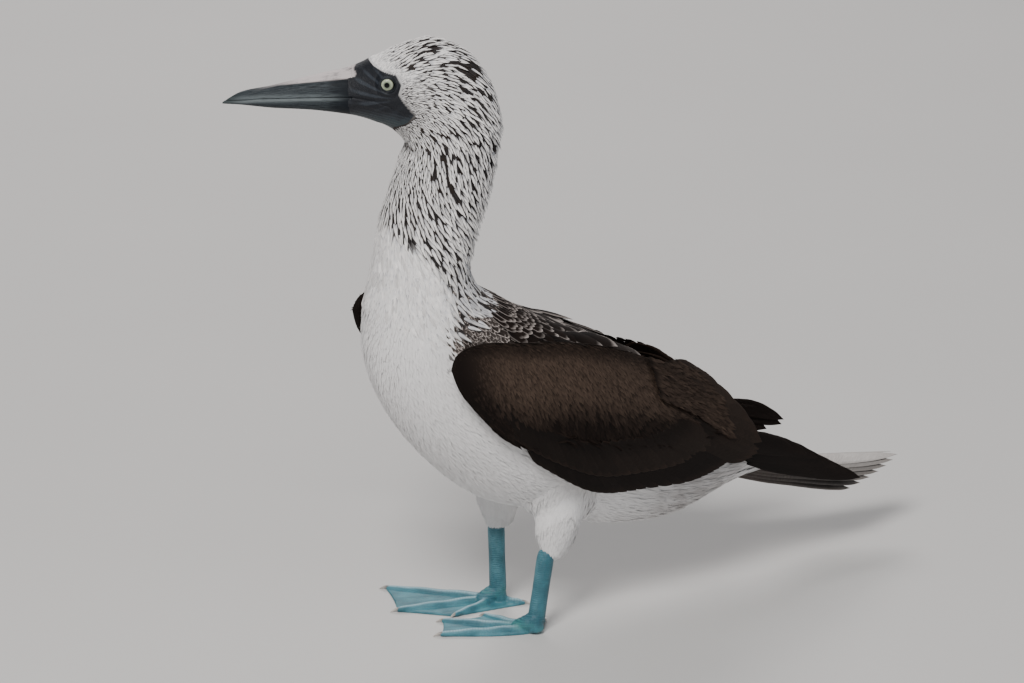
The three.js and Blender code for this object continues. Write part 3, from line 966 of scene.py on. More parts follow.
# Feathers
@dataclass(frozen=True)
class FeatherShape:
    """One feather at unit length and width, along +X with its face to +Z."""

    name: str
    rows: int = 5
    columns: int = 2
    pointed: float = 1.0
    camber: float = 0.12
    thickness: float = 0.1
    lined: bool = False
    bow: float = 0.0

    def half_width(self, along: Array) -> Array:
        """Gives half the width at places from the root to the tip."""
        swell = 0.3 + 0.7 * np.sin(np.pi / 2 * np.minimum(along / blended(0.5, 0.38, self.pointed), 1))
        start = blended(0.62, 0.32, self.pointed)
        late = np.clip((along - start) / (1 - start), 0, 1)
        power = blended(2.4, 1.25, self.pointed)
        return 0.5 * swell * (1 - late**power) ** blended(0.5, 0.95, self.pointed)

    def build(self) -> Piece:
        """Makes the closed leaf with its along and across attributes."""
        columns = self.columns
        share = np.linspace(0, 1, self.rows + 1)[1:-1] ** 0.92
        sides = np.linspace(-1, 1, columns + 1)
        points = [(0.0, 0.0, 0.0)]
        marks = [(0.0, 0.0)]
        for u in share:
            half = float(self.half_width(u))
            for v in sides:
                points.append((u, v * half + self.bow * u * u, self.camber * (1 - v * v)))
                marks.append((u, v))
            if self.lined:
                for v in sides[1:-1]:
                    sunk = self.camber * (1 - v * v) - self.thickness
                    points.append((u, v * half + self.bow * u * u, sunk))
                    marks.append((u, v))
        points.append((1.0, self.bow, 0.0))
        marks.append((1.0, 0.0))
        stride = 2 * columns if self.lined else columns + 1
        last = len(points) - 1
        faces = []
        for row in range(len(share)):
            top = 1 + row * stride
            over = [top + place for place in range(columns + 1)]
            under = [top] + [top + columns + 1 + k for k in range(columns - 1)] + [top + columns]
            if not self.lined:
                under = [top, top + columns]
            if row == 0:
                faces += [(0, a, b) for a, b in zip(over[1:], over)]
                faces += [(0, a, b) for a, b in zip(under, under[1:])]
            if row == len(share) - 1:
                faces += [(last, a, b) for a, b in zip(over, over[1:])]
                faces += [(last, a, b) for a, b in zip(under[1:], under)]
            else:
                faces += [(a, b, b + stride, a + stride) for a, b in zip(over, over[1:])]
                faces += [(b, a, a + stride, b + stride) for a, b in zip(under, under[1:])]
        mesh = bpy.data.meshes.new(self.name)
        mesh.from_pydata(points, [], [face[::-1] for face in faces])
        mesh.shade_smooth()
        for edge in mesh.edges:
            ends = [marks[corner] for corner in edge.vertices]
            on_rim = all(abs(across) == 1 or along in (0.0, 1.0) for along, across in ends)
            edge.use_edge_sharp = on_rim and ends[0][0] != ends[1][0]
        made = bpy.data.objects.new(self.name, mesh)
        facing_out(made)
        store(made, "along", np.array(marks)[:, 0])
        store(made, "across", np.array(marks)[:, 1])
        return made


@dataclass
class Roots:
    """Feather roots, with all that shapes and colours each feather."""

    place: Array
    out: Array
    lie: Array
    length: Array
    width: Array
    lift: Array
    bend: Array
    mark: Array
    border: Array
    unwrap: Array

    def kept(self, mask: Array) -> "Roots":
        """Gives the roots where the mask is true."""
        return Roots(**{name: getattr(self, name)[mask] for name in self.__dataclass_fields__})

    def joined(self, other: "Roots") -> "Roots":
        """Gives these roots and others as one set."""
        fields = self.__dataclass_fields__
        return Roots(**{name: np.concatenate([getattr(self, name), getattr(other, name)]) for name in fields})


class FeatherCoat:
    """Grows closed feathers on roots with Geometry Nodes and turns them into one plain mesh."""

    def __init__(self, bench: Bench, shapes: list[FeatherShape]) -> None:
        """Draws the feather shapes once.

        Args:
            bench: where meshes are made.
            shapes: the shapes that the roots choose among.
        """
        self.bench = bench
        self.shapes = bpy.data.collections.new("feather_shapes")
        for shape in shapes:
            self.shapes.objects.link(shape.build())
        self.tree = self._tree()

    def _tree(self) -> bpy.types.NodeTree:
        """Builds the tree: a feather on each root, bent, unwrapped, realized and finished."""
        tree = bpy.data.node_groups.new("feathers_on_roots", "GeometryNodeTree")
        g = Graph(tree)
        face = tree.interface
        face.new_socket("Roots", in_out="INPUT", socket_type="NodeSocketGeometry")
        face.new_socket("Feather shapes", in_out="INPUT", socket_type="NodeSocketCollection")
        face.new_socket("Finish", in_out="INPUT", socket_type="NodeSocketMaterial")
        face.new_socket("Bake patch", in_out="INPUT", socket_type="NodeSocketFloat")
        face.new_socket("Choice seed", in_out="INPUT", socket_type="NodeSocketInt")
        face.new_socket("Feathers", in_out="OUTPUT", socket_type="NodeSocketGeometry")
        given = {s.name: Value(g, s) for s in tree.nodes.new("NodeGroupInput").outputs if s.name}

        def named(name: str, kind: str = "FLOAT") -> Value:
            """Reads an attribute."""
            return g.node("GeometryNodeInputNamedAttribute", {"data_type": kind}, {"Name": name})

        shapes = g.node(
            "GeometryNodeCollectionInfo",
            None,
            {"Collection": given["Feather shapes"], "Separate Children": True, "Reset Children": True},
        )
        turn = g.node(
            "FunctionNodeAxesToRotation",
            {"primary_axis": "X", "secondary_axis": "Z"},
            {"Primary Axis": named("lie", "FLOAT_VECTOR"), "Secondary Axis": named("face", "FLOAT_VECTOR")},
        )
        choice = g.node(
            "FunctionNodeRandomValue",
            {"data_type": "INT"},
            {4: 0, 5: len(self.shapes.objects) - 1, "Seed": given["Choice seed"]},
            output=2,
        )
        grown = g.node(
            "GeometryNodeInstanceOnPoints",
            None,
            {
                "Points": given["Roots"],
                "Instance": shapes,
                "Pick Instance": True,
                "Instance Index": choice,
                "Rotation": turn,
                "Scale": named("size", "FLOAT_VECTOR"),
            },
        )
        real = g.node("GeometryNodeRealizeInstances", None, {"Geometry": grown})
        along = named("along")
        bent = named("bend") * along * along
        facing = named("face", "FLOAT_VECTOR")
        push = g.node("ShaderNodeVectorMath", {"operation": "SCALE"}, {0: facing, "Scale": bent})
        shaped = g.node("GeometryNodeSetPosition", None, {"Geometry": real, "Offset": push})
        patch = given["Bake patch"]
        aside = named("across") * 0.5 * patch
        inside = g.node("ShaderNodeCombineXYZ", None, {"X": aside, "Y": along * patch})
        corner = named("unwrap", "FLOAT_VECTOR")
        spot = g.node("ShaderNodeVectorMath", {"operation": "ADD"}, {0: corner, 1: inside})
        mapped = g.node(
            "GeometryNodeStoreNamedAttribute",
            {"data_type": "FLOAT2", "domain": "CORNER"},
            {"Geometry": shaped, "Name": "OFBake", "Value": spot},
        )
        finished = g.node("GeometryNodeSetMaterial", None, {"Geometry": mapped, "Material": given["Finish"]})
        smooth = g.node("GeometryNodeSetShadeSmooth", None, {0: finished})
        g.node("NodeGroupOutput", None, {"Feathers": smooth})
        return tree

    def grown(self, name: str, roots: Roots, finish: Material, seed: int) -> Piece:
        """Grows one piece of coat.

        Args:
            name: the piece's name.
            roots: where and how the feathers grow.
            finish: their material.
            seed: the seed of their shapes and tones.

        Returns:
            The plain mesh piece.
        """
        rng = np.random.default_rng(seed)
        count = len(roots.place)
        held = self.bench.piece(f"{name}_roots", roots.place, [], None)
        rise = roots.lift[:, None]
        lie = unit(roots.lie * np.cos(rise) + roots.out * np.sin(rise))
        face = unit(roots.out * np.cos(rise) - roots.lie * np.sin(rise))
        size = np.column_stack([roots.length, roots.width, roots.width]) / 1000
        unwrap = np.column_stack([roots.unwrap, np.zeros(count)])
        vectors = {"lie": lie, "face": face, "size": size, "unwrap": unwrap}
        for label, rows in vectors.items():
            made = held.data.attributes.new(label, "FLOAT_VECTOR", "POINT")
            made.data.foreach_set("vector", rows.astype(np.float32).ravel())
        numbers = {
            "bend": roots.bend * roots.length / 1000,
            "mark": roots.mark,
            "border": roots.border,
            "tone": rng.random(count),
        }
        for label, row in numbers.items():
            store(held, label, row)
        modifier = held.modifiers.new("feathers", "NODES")
        modifier.node_group = self.tree
        items = self.tree.interface.items_tree
        keys = {item.name: item.identifier for item in items if item.in_out == "INPUT"}
        modifier[keys["Feather shapes"]] = self.shapes
        modifier[keys["Finish"]] = finish
        modifier[keys["Bake patch"]] = BAKE_PATCH
        modifier[keys["Choice seed"]] = seed
        held.name = name
        settled(held)
        mesh = held.data
        for label in ("lie", "face", "size", "unwrap", "bend"):
            spare = mesh.attributes.get(label)
            if spare:
                mesh.attributes.remove(spare)
        log.info("%s: %d feathers, %d faces", name, count, len(mesh.polygons))
        return held

    def cleared(self) -> None:
        """Removes the drawn shapes once all feathers are grown."""
        for shape in list(self.shapes.objects):
            bpy.data.objects.remove(shape)
        bpy.data.collections.remove(self.shapes)


def feather_coat(
    bench: Bench,
    kind: str,
    bow: float,
    pointed: tuple,
    camber: tuple,
    plain: str = "straight",
    **sizes: float,
) -> FeatherCoat:
    """Gives a coat of three shapes: one straight, one bowed to the left and one to the right.

    Args:
        bench: where meshes are made.
        kind: the start of the shapes' names.
        bow: how far the two bowed shapes swing.
        pointed: how pointed each shape is.
        camber: how arched each shape is.
        plain: the name of the one that isn't bowed. Shapes are chosen in the order of their names.
        sizes: what all three share.

    Returns:
        The coat.
    """
    bows = ((plain, 0.0), ("left", bow), ("right", -bow))
    return FeatherCoat(
        bench,
        [
            FeatherShape(f"{kind}_{way}", bow=swing, pointed=point, camber=arch, **sizes)
            for (way, swing), point, arch in zip(bows, pointed, camber)
        ],
    )


@dataclass
class Plumage:
    """Where each colour and size of small feather grows on the body."""

    def behind_white(self, straight: Array) -> Array:
        """Gives the distance behind the edge of the white breast, in millimetres."""
        x, z = straight[..., 0], straight[..., 2]
        behind = x - across_line(WHITE_LINE, z)
        over_wing = (z - above_line(WING_TOP, x) + 16) * 1.2
        over_wing = np.where(z > 250, 99.0, over_wing)
        return np.minimum(behind, over_wing)

    def behind_mask(self, straight: Array) -> Array:
        """Gives the distance behind or below the bare face, in millimetres."""
        behind = straight[..., 0] - across_line(FEATHER_LINE, straight[..., 2])
        return np.maximum(behind, FEATHER_LINE[-1][1] - straight[..., 2])

    def nearness_to_face(self, straight: Array) -> Array:
        """Gives 1 at the bare face, falling to 0 a few centimetres behind it."""
        return 1 - eased(self.behind_mask(straight), 0, 30)

    def ground(self, straight: Array) -> Array:
        """Gives the colour of the skin under the coat, with the coat's own markings."""
        behind = self.behind_white(straight)
        dark = eased(behind, -10, 12)[..., None]
        forehead = (self.nearness_to_face(straight) * eased(straight[..., 2], 380, 425) * 0.75)[..., None]
        white = np.array([0.80, 0.79, 0.79])
        brown = np.array([0.022, 0.016, 0.013])
        return blended(blended(white, brown, dark), white, forehead)


PLUMAGE = Plumage()


@dataclass(frozen=True)
class Tract:
    """One stretch of the body with feathers of a kind, in staggered rows."""

    first: float
    last: float
    length: Callable[[Array, Array], Array]
    width: Callable[[Array, Array], Array]
    row_gap: float = 0.4
    side_gap: float = 0.75
    jitter: float = 0.22

    def roots_at(self, form: "BodyForm | WingPad", rng: np.random.Generator) -> tuple[Array, Array]:
        """Lays staggered rows of roots around a form.

        Args:
            form: the body or a wing's pad.
            rng: the source of small unevenness.

        Returns:
            Shares and angles of the roots.
        """
        turns = np.linspace(-np.pi, np.pi, 181)
        shares, angles = [], []
        share = self.last
        row = 0
        while share > self.first:
            here = form.straight(np.full_like(turns, share), turns)
            long = self.length(here, turns)
            wide = self.width(here, turns)
            step = 0.0015
            ahead = form.straight(np.full_like(turns, share - step), turns)
            pace = np.linalg.norm(ahead - here, axis=-1) / step
            wanted = long * self.row_gap / np.maximum(pace, 1e-6)
            advance = max(float(wanted.min()), 2.5e-4)
            gaps = np.linalg.norm(np.diff(here, axis=0), axis=-1)
            count = np.concatenate([[0], np.cumsum(gaps / (0.5 * (wide[1:] + wide[:-1]) * self.side_gap))])
            total = int(count[-1])
            at = (np.arange(total) + 0.5 * (row % 2)) * count[-1] / max(total, 1)
            at = at + rng.uniform(-self.jitter, self.jitter, total)
            angle = np.interp(at % max(count[-1], 1e-6), count, turns)
            thin = np.interp(angle, turns, advance / wanted)
            phase = (np.arange(total) * 0.618) % 1
            chosen = np.floor((row + 1) * thin + phase) > np.floor(row * thin + phase)
            shares.append(share + rng.uniform(-0.3, 0.3, int(chosen.sum())) * advance)
            angles.append(angle[chosen])
            share -= advance
            row += 1
        return np.concatenate(shares), np.concatenate(angles)


def coat_depth(straight: Array, angle: Array) -> Array:
    """Gives how far the skin lies under the coat's surface, in millimetres."""
    behind = PLUMAGE.behind_mask(straight)
    head = 1.3 * eased(behind, 0.2, 9)
    nape = 2.6 * (0.5 + 0.5 * np.cos(angle)) * eased(behind, 20, 60)
    body = 2.3 * (1 - eased(straight[..., 2], 235, 330)) * eased(behind, 10, 40)
    depth = head + nape * eased(straight[..., 2], 275, 320) * (1 - eased(straight[..., 2], 360, 400)) + body
    return np.where(behind < 0, 0.0, depth)


@dataclass
class Skin:
    """One skin from the tail to the bill, with the bare face and the feathered thighs in it."""

    bench: Bench
    around: int = 200
    nodes: tuple = ("torso", "neck", "head", "face_mask", "thigh_left", "thigh_right")

    def _rings(self) -> Array:
        """Spaces the rings along the body, finest over the face."""
        body = np.linspace(0.006, 0.62, 110, endpoint=False)
        head = np.linspace(0.62, 0.75, 70, endpoint=False)
        face = np.linspace(0.75, BILL_SHARE + 0.006, 170)
        return np.concatenate([body, head, face])

    def build(self) -> Piece:
        """Lofts the skin, joins the thighs and marks its colours."""
        share = self._rings()[:, None]
        angle = np.linspace(0, 2 * np.pi, self.around, endpoint=False)[None, :]
        share, angle = np.broadcast_arrays(share, angle)
        flat = BODY.straight(share, angle)
        depth = coat_depth(flat, angle)
        rings = BODY.straight(share, angle, -depth)
        rings = self._face_folds(rings)
        points, faces = tube(turned(rings))
        skin = self.bench.piece("skin", points, faces, SkinFinish().build())
        facing_out(skin)
        for side in Side:
            self._join_thigh(skin, side)
        self._soften_joins(skin, points)
        self._mark(skin)
        return skin

    def _face_folds(self, rings: Array) -> Array:
        """Sinks the gape, raises the rims of the eyes and creases the chin skin."""
        moved = rings.copy()
        x, y, z = rings[..., 0], rings[..., 1], rings[..., 2]
        side = np.sign(y)
        bare = eased(-PLUMAGE.behind_mask(rings), -0.6, 1.5)
        gape = np.exp(-(((z - above_line(GAPE_LINE, x)) / 0.55) ** 2)) * eased(-x, 89, 95)
        fold_low = np.exp(-(((z - above_line(GAPE_LINE, x) + 4.5) / 1.1) ** 2)) * eased(-x, 92, 108)
        from_eye = np.hypot(x - EYE.x, z - EYE.z)
        rim = np.exp(-(((from_eye - 6.2) / 1.5) ** 2)) * 1.1
        outer = np.exp(-(((from_eye - 9.2) / 0.6) ** 2)) * -0.25
        well = -5.0 * (1 - eased(from_eye, 4.0, 5.4))
        lores = -0.5 * np.exp(-(((x + 113) / 5) ** 2) - ((z - 413) / 5) ** 2)
        pleats = eased(np.sin(z * 2.6 + x * 0.5), 0.2, 1.0)
        chin = -0.28 * pleats * (1 - eased(z, 386, 392)) * eased(-x, 84, 92)
        push = bare * (rim + outer + lores + chin - 0.9 * gape + 0.35 * fold_low) + well
        moved[..., 1] = y + side * push * eased(np.abs(y), 2, 6)
        return moved

    def _join_thigh(self, skin: Piece, side: Side) -> None:
        """Unites the skin with one thigh."""
        leg = LEGS[side]
        points, faces = tube(leg.thigh_rings(THIGH_UNDER_COAT, *THIGH_GRID))
        thigh = self.bench.piece("thigh_form", points, faces, None)
        facing_out(thigh)
        modifier = skin.modifiers.new("thigh", "BOOLEAN")
        modifier.operation = "UNION"
        modifier.solver = "MANIFOLD"
        modifier.object = thigh
        settled(skin)
        bpy.data.objects.remove(thigh)

    def _soften_joins(self, skin: Piece, plain: Array) -> None:
        """Smooths the skin where the thighs leave the belly.

        Args:
            skin: the united skin.
            plain: the body's own points before the thighs were joined.
        """
        thighs = [leg.thigh_rings(THIGH_UNDER_COAT, *THIGH_GRID).reshape(-1, 3) for leg in LEGS.values()]
        known = known_points(np.vstack([plain, *thighs]))
        points = self.bench.local(corners_of(skin))
        near = np.flatnonzero((points[:, 2] < 150) & (np.abs(points[:, 0]) < 70))
        seam = [spot for spot in near if known.find(points[spot])[2] > 0.01]
        joins = known_points(points[seam])
        group = skin.vertex_groups.new(name="joins")
        for spot in near:
            weight = 1 - float(eased(joins.find(points[spot])[2], 4, 16))
            if weight > 0:
                group.add([int(spot)], weight, "REPLACE")
        smooth = skin.modifiers.new("soften", "SMOOTH")
        smooth.vertex_group = "joins"
        smooth.factor = 0.8
        smooth.iterations = 45
        settled(skin)
        skin.vertex_groups.clear()

    def _mark(self, skin: Piece) -> None:
        """Carries the coat's markings and the bare face on the skin."""
        straight = turned(self.bench.local(corners_of(skin)), back=True)
        x, z = straight[:, 0], straight[:, 2]
        bare = 1 - eased(PLUMAGE.behind_mask(straight), -0.25, 0.35)
        store(skin, "ground", PLUMAGE.ground(straight))
        store(skin, "bare", bare)
        store(skin, "gular", bare * (1 - eased(z, 383, 393)))
        rays = np.sin(np.arctan2(z - 404, -90 - x) * 26 + x * 0.1)
        lores = rays * (1 - eased(np.hypot(x + 112, z - 408), 8, 18))
        pleats = bare * (0.5 + 0.5 * np.sin(z * 2.6 + x * 0.5)) * (1 - eased(z, 388, 396))
        store(skin, "folds", pleats + bare * lores)
        over = z - above_line(NASAL_GROOVE, x)
        store(skin, "ridge", bare * eased(over, 0.6, 2.0) * eased(-x, 118, 127))


@dataclass(frozen=True)
class Lids:
    """The bare ring of skin round each eye, as two lids that meet in front and behind."""

    bench: Bench
    side: Side
    radius: float = 5.35
    thickness: float = 1.15
    around: int = 72
    section: int = 14

    def build(self, skin_finish: Material) -> Piece:
        """Makes the ring with fine folds."""
        turn = np.linspace(0, 2 * np.pi, self.around, endpoint=False)[:, None]
        roll = np.linspace(0, 2 * np.pi, self.section, endpoint=False)[None, :]
        fold = 1 + 0.05 * np.cos(9 * turn) * eased(np.cos(roll), 0, 1)
        corner = np.exp(-((np.sin(turn) / 0.3) ** 2))
        radius = self.radius - 0.25 * np.abs(np.sin(turn)) + 0.35 * corner
        wide = self.thickness * fold * (1 + 0.15 * corner)
        reach = radius + wide * 0.9 * np.cos(roll)
        out = 0.75 * self.thickness * np.sin(roll) + 0.12 * np.cos(11 * turn) * np.cos(roll)
        x = EYE.x + reach * np.cos(turn) - out * EYE.forward_lean
        z = EYE.z + reach * np.sin(turn)
        y = EYE.y + 5.35 + out + EYE.forward_lean * reach * np.cos(turn)
        rings = np.stack(np.broadcast_arrays(x, y * self.side.value, z), axis=-1)
        points = turned(rings.reshape(-1, 3))
        faces = grid_faces(self.around, self.section, True)
        last = (self.around - 1) * self.section
        for place in range(self.section):
            after = (place + 1) % self.section
            faces.append((last + place, last + after, after, place))
        ring = self.bench.piece(f"eyelids_{self.side.label}", points, faces, skin_finish)
        facing_out(ring)
        count = len(points)
        for name, value in (("bare", 1.0), ("gular", 0.1), ("folds", 0.2), ("ridge", 0.0)):
            store(ring, name, np.full(count, value))
        store(ring, "ground", np.full((count, 3), 0.02))
        return ring


@dataclass(frozen=True)
class Eye:
    """One eyeball with its iris, pupil and slightly raised cornea."""

    bench: Bench
    side: Side
    rings: int = 48
    around: int = 64

    def build(self, finish: Material) -> Piece:
        """Makes the ball about its own axis and turns it with the head."""
        tilt = np.linspace(0, np.pi, self.rings + 2)[1:-1, None]
        turn = np.linspace(0, 2 * np.pi, self.around, endpoint=False)[None, :]
        cornea = 1 + 0.035 * (1 - eased(tilt, 0.0, 0.72))
        radius = (EYE.radius - 0.2) * cornea
        away = radius * np.sin(tilt) * np.ones_like(turn)
        forward = radius * np.cos(tilt) * np.ones_like(turn)
        x = away * np.cos(turn)
        z = away * np.sin(turn)
        lean = EYE.forward_lean
        points = np.stack(
            [
                EYE.x + x * math.cos(lean) - forward * math.sin(lean),
                self.side.value * (EYE.y + forward * math.cos(lean) + x * math.sin(lean)),
                EYE.z + z,
            ],
            axis=-1,
        )
        corners, faces = tube(turned(points))
        ball = self.bench.piece(f"eyeball_{self.side.label}", corners, faces, finish)
        facing_out(ball)
        poles = np.array([0.0, 0.0])
        seen = np.where(forward > 0, away, EYE.radius)
        store(ball, "from_axis", np.concatenate([seen.ravel(), [0.0, EYE.radius]]))
        spoke = np.sin(turn * 23 + 2 * np.sin(turn * 7)) * np.ones_like(tilt)
        store(ball, "spoke", np.concatenate([spoke.ravel(), poles]))
        return ball


@dataclass(frozen=True)
class Bill:
    """The long bill, upper and lower half, with ridge, grooves and cutting edges."""

    bench: Bench
    rings: int = 150
    over: int = 56
    inner: int = 8
    gap: float = 0.22

    def build(self, finish: Material) -> list[Piece]:
        """Makes both halves."""
        return [self._half("bill_upper_horn", 1, finish), self._half("bill_lower_horn", -1, finish)]

    def _half(self, name: str, sign: int, finish: Material) -> Piece:
        """Lofts one half.

        Args:
            name: the piece's name.
            sign: 1 for the upper half, -1 for the lower one.
            finish: the horn.

        Returns:
            The piece.
        """
        share = BILL_SHARE + 0.0012 + (1 - BILL_SHARE - 0.0018) * np.linspace(0, 1, self.rings) ** 0.9
        fine = np.linspace(0, np.pi, 400)
        rings, marks = [], []
        for place in share:
            outline = BODY.straight(np.full_like(fine, place), fine)
            x = float(outline[:, 0].mean())
            mouth = float(above_line(MOUTH_LINE, x)) + sign * self.gap / 2
            height = outline[:, 2]
            inside = height > mouth if sign > 0 else height < mouth
            if inside.sum() < 4:
                break
            kept = outline[inside]
            if sign < 0:
                kept = kept[::-1]
            lengths = np.concatenate([[0], np.cumsum(np.linalg.norm(np.diff(kept[:, 1:], axis=0), axis=-1))])
            at = np.linspace(0, lengths[-1], self.over // 2 + 1)
            y = np.interp(at, lengths, kept[:, 1])
            z = np.interp(at, lengths, kept[:, 2])
            y, z = self._carved(x, y, z, sign, mouth)
            half = np.column_stack([np.full_like(y, x), y, z])
            mirrored = half[::-1] * [1, -1, 1]
            edge = half[-1]
            depth = np.linspace(1, -1, self.inner + 2)[1:-1]
            hollow = sign * 0.35 * (1 - depth**2) * min(1.0, abs(edge[1]) / 3)
            roof = np.column_stack([np.full_like(depth, x), edge[1] * depth, edge[2] + hollow])
            ring = np.vstack([half, roof, mirrored[:-1]])
            rings.append(ring)
            top = max(float(abs(z[0] - mouth)), 0.5)
            marks.append(np.abs(ring[:, 2] - mouth) / top)
        rings = np.array(rings)
        points, faces = tube(turned(rings))
        piece = self.bench.piece(name, points, faces, finish)
        facing_out(piece)
        height = np.concatenate([np.array(marks).ravel(), [0.5, 0.5]])
        straight = np.vstack([rings.reshape(-1, 3), rings[0].mean(axis=0), rings[-1].mean(axis=0)])
        self._mark(piece, straight, height, sign)
        return piece

    def _carved(self, x: float, y: Array, z: Array, sign: int, mouth: float) -> tuple[Array, Array]:
        """Cuts the nasal groove, the rough cutting edge and the joints at the base."""
        near_tip = float(eased(-x, 150, 214))
        if sign > 0:
            over = z - float(above_line(NASAL_GROOVE, np.array(x)))
            groove = np.exp(-((over / 0.75) ** 2))
            y = y - 0.75 * groove * (1 - 0.75 * near_tip) * np.clip(y / 3, 0, 1)
            ridge = eased(y, 0, 4) * eased(over, 0.5, 2.5)
            y = y + 0.35 * ridge * (1 - near_tip)
        else:
            line = mouth - 3.0 + 1.2 * near_tip
            y = y - 0.45 * np.exp(-(((z - line) / 0.6) ** 2)) * np.clip(y / 3, 0, 1) * (1 - near_tip)
        teeth = 0.12 * math.sin(x * 5.2) * np.exp(-(((z - mouth) / 0.5) ** 2)) * (1 - near_tip * 0.5)
        y = np.maximum(y + teeth * (y > 0.5), 0)
        joint = math.exp(-(((x + 127.2) / 0.35) ** 2))
        y = y - 0.28 * joint * (y > 0.4)
        return y, z

    def _mark(self, piece: Piece, straight: Array, height: Array, sign: int) -> None:
        """Marks the pale ridge, a painted highlight along the cutting edges and the reach towards the tip."""
        x, z = straight[:, 0], straight[:, 2]
        store(piece, "height", height)
        store(piece, "reach", np.clip((-x - 125) / 90, 0, 1))
        over = z - above_line(NASAL_GROOVE, x)
        strip = eased(over, 0.4, 1.4) * eased(-x, 116, 122) * (1 - eased(-x, 158, 196)) if sign > 0 else 0 * z
        store(piece, "strip", strip)
        mouth = above_line(MOUTH_LINE, x)
        # A band on each side of the mouth line, stronger on the lower half, for the painted highlight there.
        band = np.exp(-(((np.abs(z - mouth) - 1.2) / 1.3) ** 2)) * (0.5 if sign > 0 else 1.0)
        store(piece, "tomium", band * eased(-x, 125, 150))


# Legs
@dataclass(frozen=True)
class Leg:
    """Sizes of one leg and foot: toes are degrees inwards from straight ahead, then length."""

    side: Side
    ankle: tuple[float, float]
    top: tuple[float, float]
    height: float
    hip: float
    behind: float
    toes: dict[str, tuple[float, float]]

    def thigh_rings(self, margin: float, rings: int, around: int) -> Array:
        """Gives the rings of the feathered thigh, grown by a margin."""
        lowest = (self.top[0] + self.behind, self.top[1], self.height - 6)
        start = (self.hip, self.side.value * 30, 122)

        def radius(share: Array) -> Array:
            """Gives the thigh's radius."""
            narrowed = blended(THIGH_AT_HIP, THIGH_AT_FOOT, eased(share, 0.1, 1))
            return narrowed + THIGH_SWELL * np.sin(np.pi * share**1.3) + margin

        return limb_rings(start, lowest, radius, 1.22, rings, around)

    def holds(self, points: Array, margin: float) -> Array:
        """Tells which points lie inside the thigh by at least a margin."""
        rings = self.thigh_rings(0.0, 40, 16)
        middle = rings.mean(axis=1)
        reach = np.linalg.norm(rings - middle[:, None], axis=-1).mean(axis=1)
        away = np.linalg.norm(points[:, None] - middle[None], axis=-1)
        return (away < reach - margin).any(axis=1)

    def under_toe(self, toe: str, shortened: float = 0.0) -> Array:
        """Gives the point on the floor under a toe's end, from the ankle."""
        bearing, length = self.toes[toe]
        angle = math.radians(bearing)
        reach = length - shortened
        return np.array([-math.cos(angle) * reach, -self.side.value * math.sin(angle) * reach])


LEGS = {
    Side.LEFT: Leg(
        Side.LEFT, (-11, -33), (1.4, -33), 57, 18, 4.5,
        {"outer": (26, 71), "middle": (48, 72), "inner": (72, 50), "hind": (146, 26)},
    ),
    Side.RIGHT: Leg(
        Side.RIGHT, (-3.4, 29), (-2.9, 29), 62, 5, 1.5,
        {"outer": (-49.5, 89), "middle": (-18, 78), "inner": (11, 45), "hind": (139, 27)},
    ),
}
THIGH_AT_HIP = 19
THIGH_AT_FOOT = 8
THIGH_SWELL = 4.5
THIGH_UNDER_COAT = -3.0  # how far the skin lies inside the feathered thigh
THIGH_GRID = (48, 40)
TOE_RADIUS = {"outer": 3.4, "middle": 3.8, "inner": 3.3, "hind": 2.6}


def limb_rings(
    start: tuple, end: tuple, radius: Callable[[Array], Array], broad: float, rings: int, around: int
) -> Array:
    """Gives the rings of a round-ended tube between two points.

    Args:
        start: the tube's first end.
        end: its last end.
        radius: its radius along its length.
        broad: how much wider it is one way.
        rings: how many rings.
        around: corners in a ring.

    Returns:
        The rings.
    """
    a, b = np.array(start, float), np.array(end, float)
    along = unit(b - a)
    level = np.array([0, 1, 0]) if abs(along[2]) > 0.7 else np.array([0, 0, 1])
    aside = unit(np.cross(level, along))
    third = np.cross(along, aside)
    share = 0.5 - 0.5 * np.cos(np.linspace(0.02, np.pi - 0.02, rings))
    ending = np.sqrt(np.maximum(0, 1 - (2 * share - 1) ** 8))
    size = (radius(share) * ending)[:, None, None]
    turn = np.linspace(0, 2 * np.pi, around, endpoint=False)[None, :, None]
    middle = (a + (b - a) * share[:, None])[:, None, :]
    return middle + aside * np.cos(turn) * size * broad + third * np.sin(turn) * size


